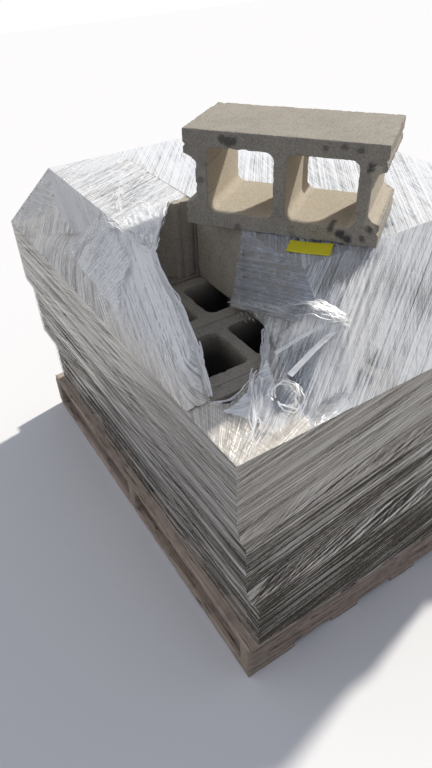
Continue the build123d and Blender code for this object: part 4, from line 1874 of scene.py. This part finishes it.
@dataclass
class Studio:
    """Floor, lamps, world and camera."""

    camera_place: Place = (-0.8875, -1.1449, 1.4397)
    camera_yaw: float = 0.5420
    camera_pitch: float = 0.6840
    camera_roll: float = -0.0410
    lens: float = 27.9
    towards_key: Place = (0.810, 0.185, 0.556)
    key_strength: float = 3.95
    key_width: float = 2.5
    key_colour: Colour = (1.0, 0.955, 0.88)
    towards_side: Place = (-0.80, 0.33, 0.50)
    side_strength: float = 0.36
    side_width: float = 75.0
    side_colour: Colour = (1.0, 0.97, 0.93)
    fill_strength: float = 0.38
    fill_colour: Colour = (0.80, 0.85, 1.0)

    def build(self) -> None:
        """Makes all of it. Only the floor is a mesh."""
        self.floor()
        self.lamps()
        self.world()
        self.camera()

    def floor(self) -> None:
        """A pale floor, darker to all but the camera so that it throws little light back."""
        mesh = bpy.data.meshes.new("floor")
        corners = [(x, y, -0.001) for x, y in ((-9, -9), (9, -9), (9, 9), (-9, 9))]
        mesh.from_pydata(corners, [], [(0, 1, 2, 3)])
        floor = bpy.data.objects.new("floor", mesh)
        bpy.context.scene.collection.objects.link(floor)
        shader = Shader("pale_floor")
        path = shader.nodes.new("ShaderNodeLightPath")
        seen = shader.math("MAXIMUM", path.outputs["Is Camera Ray"], path.outputs["Is Glossy Ray"])
        seen = shader.math("MAXIMUM", seen, path.outputs["Is Transmission Ray"])
        colour = shader.mix(seen, (0.15, 0.15, 0.14), (0.93, 0.93, 0.93))
        mesh.materials.append(shader.finish(colour=colour, roughness=1.0, specular=0.0))

    def lamps(self) -> None:
        """A key lamp from high on the right and a wide, weak one from the left."""
        self.lamp("key", self.towards_key, self.key_strength, self.key_width, self.key_colour)
        self.lamp("side", self.towards_side, self.side_strength, self.side_width, self.side_colour)

    def lamp(self, name: str, towards: Place, strength: float, angle: float, colour: Colour) -> None:
        """Adds a sun lamp.

        Args:
            name: of the lamp.
            towards: direction in which the lamp stands.
            strength: of its light.
            angle: width of its disc in degrees.
            colour: of its light.
        """
        data = bpy.data.lights.new(name, "SUN")
        data.energy = strength
        data.angle = np.radians(angle)
        data.color = colour
        lamp = bpy.data.objects.new(name, data)
        lamp.rotation_mode = "QUATERNION"
        lamp.rotation_quaternion = (-Vector(towards)).to_track_quat("-Z", "Y")
        bpy.context.scene.collection.objects.link(lamp)

    def world(self) -> None:
        """White behind the object and a dimmer, cool fill on it."""
        world = bpy.data.worlds.new("studio")
        bpy.context.scene.world = world
        world.use_nodes = True
        nodes, links = world.node_tree.nodes, world.node_tree.links
        fill = nodes["Background"]
        fill.inputs["Color"].default_value = (*self.fill_colour, 1.0)
        fill.inputs["Strength"].default_value = self.fill_strength
        white = nodes.new("ShaderNodeBackground")
        white.inputs["Color"].default_value = (1.0, 1.0, 1.0, 1.0)
        path = nodes.new("ShaderNodeLightPath")
        mix = nodes.new("ShaderNodeMixShader")
        seen = nodes.new("ShaderNodeMath")
        seen.operation = "MAXIMUM"
        links.new(path.outputs["Is Camera Ray"], seen.inputs[0])
        links.new(path.outputs["Is Glossy Ray"], seen.inputs[1])
        links.new(seen.outputs[0], mix.inputs[0])
        links.new(fill.outputs[0], mix.inputs[1])
        links.new(white.outputs[0], mix.inputs[2])
        links.new(mix.outputs[0], nodes["World Output"].inputs[0])

    def camera(self) -> None:
        """The photograph's viewpoint: yaw from +Y towards +X, pitch down and roll, in radians."""
        level = np.array([np.sin(self.camera_yaw), np.cos(self.camera_yaw), 0.0])
        right = np.array([np.cos(self.camera_yaw), -np.sin(self.camera_yaw), 0.0])
        up = np.array([0.0, 0.0, 1.0])
        forward = level * np.cos(self.camera_pitch) - up * np.sin(self.camera_pitch)
        raised = level * np.sin(self.camera_pitch) + up * np.cos(self.camera_pitch)
        cosine, sine = np.cos(self.camera_roll), np.sin(self.camera_roll)
        axes = np.stack([cosine * right + sine * raised, -sine * right + cosine * raised, -forward], axis=1)
        data = bpy.data.cameras.new("camera")
        data.lens = self.lens
        data.sensor_width = 36.0
        camera = bpy.data.objects.new("camera", data)
        turn = Matrix(axes.tolist()).to_4x4()
        camera.matrix_world = Matrix.Translation(self.camera_place) @ turn
        bpy.context.scene.collection.objects.link(camera)
        bpy.context.scene.camera = camera


def show(name: str, surface: Surface, material: bpy.types.Material, slot: Slot, *nodes: str) -> None:
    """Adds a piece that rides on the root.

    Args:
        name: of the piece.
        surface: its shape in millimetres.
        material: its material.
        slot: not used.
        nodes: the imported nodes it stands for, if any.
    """
    piece = add_piece(name, surface, material)
    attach(piece, "root")
    if nodes:
        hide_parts(*nodes)


def main() -> None:
    """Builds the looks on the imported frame, piece by piece, and then the studio."""
    logging.basicConfig(level=logging.INFO, format="%(message)s")
    for old in list(bpy.data.objects):
        bpy.data.objects.remove(old)
    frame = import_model()
    scene = bpy.context.scene
    scene.view_settings.view_transform = "Standard"

    concrete = ConcreteFinish("worn_concrete", 0.75).material()
    stacked = ConcreteFinish("stacked_concrete", 0.92).material()
    # Painted shade: the two lowest courses, hidden by the film, get a much darker and browner copy of the
    # concrete for the shade at the foot of the load.
    painted_shade_material = ConcreteFinish("painted_shade_concrete", 0.18, 1.7).material()
    film = FilmFinish().material()
    wood = WoodFinish().material()
    for name in ("block_course_1", "block_course_2"):
        data = frame["nodes"][name].data
        data.materials.clear()
        data.materials.append(painted_shade_material)

    blocks = Concrete()
    show("loose_block_worn", blocks.loose_block(), concrete, Slot.CONCRETE, "loose_block")
    show("third_course_worn", blocks.third_course(), stacked, Slot.CONCRETE, "block_course_3")
    show("top_course_worn", blocks.top_course(), stacked, Slot.CONCRETE, "block_course_4")

    sheets = Film()
    left_ply = Ply(0.87, 0.8, 0.3, 1.3, 11.0, 420.0, 2, 2.3)
    near_ply = Ply(0.80, 0.95, 0.3, 1.1, 9.0, 420.0, 3, 1.9)
    back_ply = Ply(0.74, 0.35, 0.3, 2.2, 11.0, 420.0, 2, 1.1)
    left = sheets.skirt(("left",), sheets.step, left_ply, 0.03)
    near = sheets.skirt(("near",), sheets.step, near_ply, 0.16)
    back = sheets.skirt(("right", "far"), sheets.back_step, back_ply, 0.08)
    show("film_left_skirt", left, film, Slot.FILM, "stretch_film")
    show("film_near_skirt", near, film, Slot.FILM)
    # Painted shade: the right and far skirts are tinted blue-grey.
    show("film_back_skirt", back.marked(dusk=0.5), film, Slot.FILM)
    show("film_corner", sheets.corner_sheet(), film, Slot.FILM)
    show("film_slopes", sheets.slopes(), film, Slot.FILM)
    show("film_back", sheets.back(), film, Slot.FILM)
    show("film_top", sheets.top(), film, Slot.FILM)
    show("film_flap", sheets.flap(), film, Slot.FILM)
    show("film_strips", sheets.strands(), film, Slot.FILM)

    pallet = Pallet()
    boards = [(f"top_board_{i}", 1) for i in range(1, 8)]
    boards += [(f"bottom_board_{i}", 1) for i in range(1, 6)]
    boards += [(f"stringer_{place}", 0) for place in ("near", "middle", "far")]
    for seed, (node, axis) in enumerate(boards, 1):
        show(f"{node}_worn", pallet.board(node, axis, seed), wood, Slot.WOOD, node)
    show("lot_tag_bent", Tag().card(), CardFinish().material(), Slot.CARD, "lot_tag")

    Studio().build()


if __name__ == "__main__":
    main()
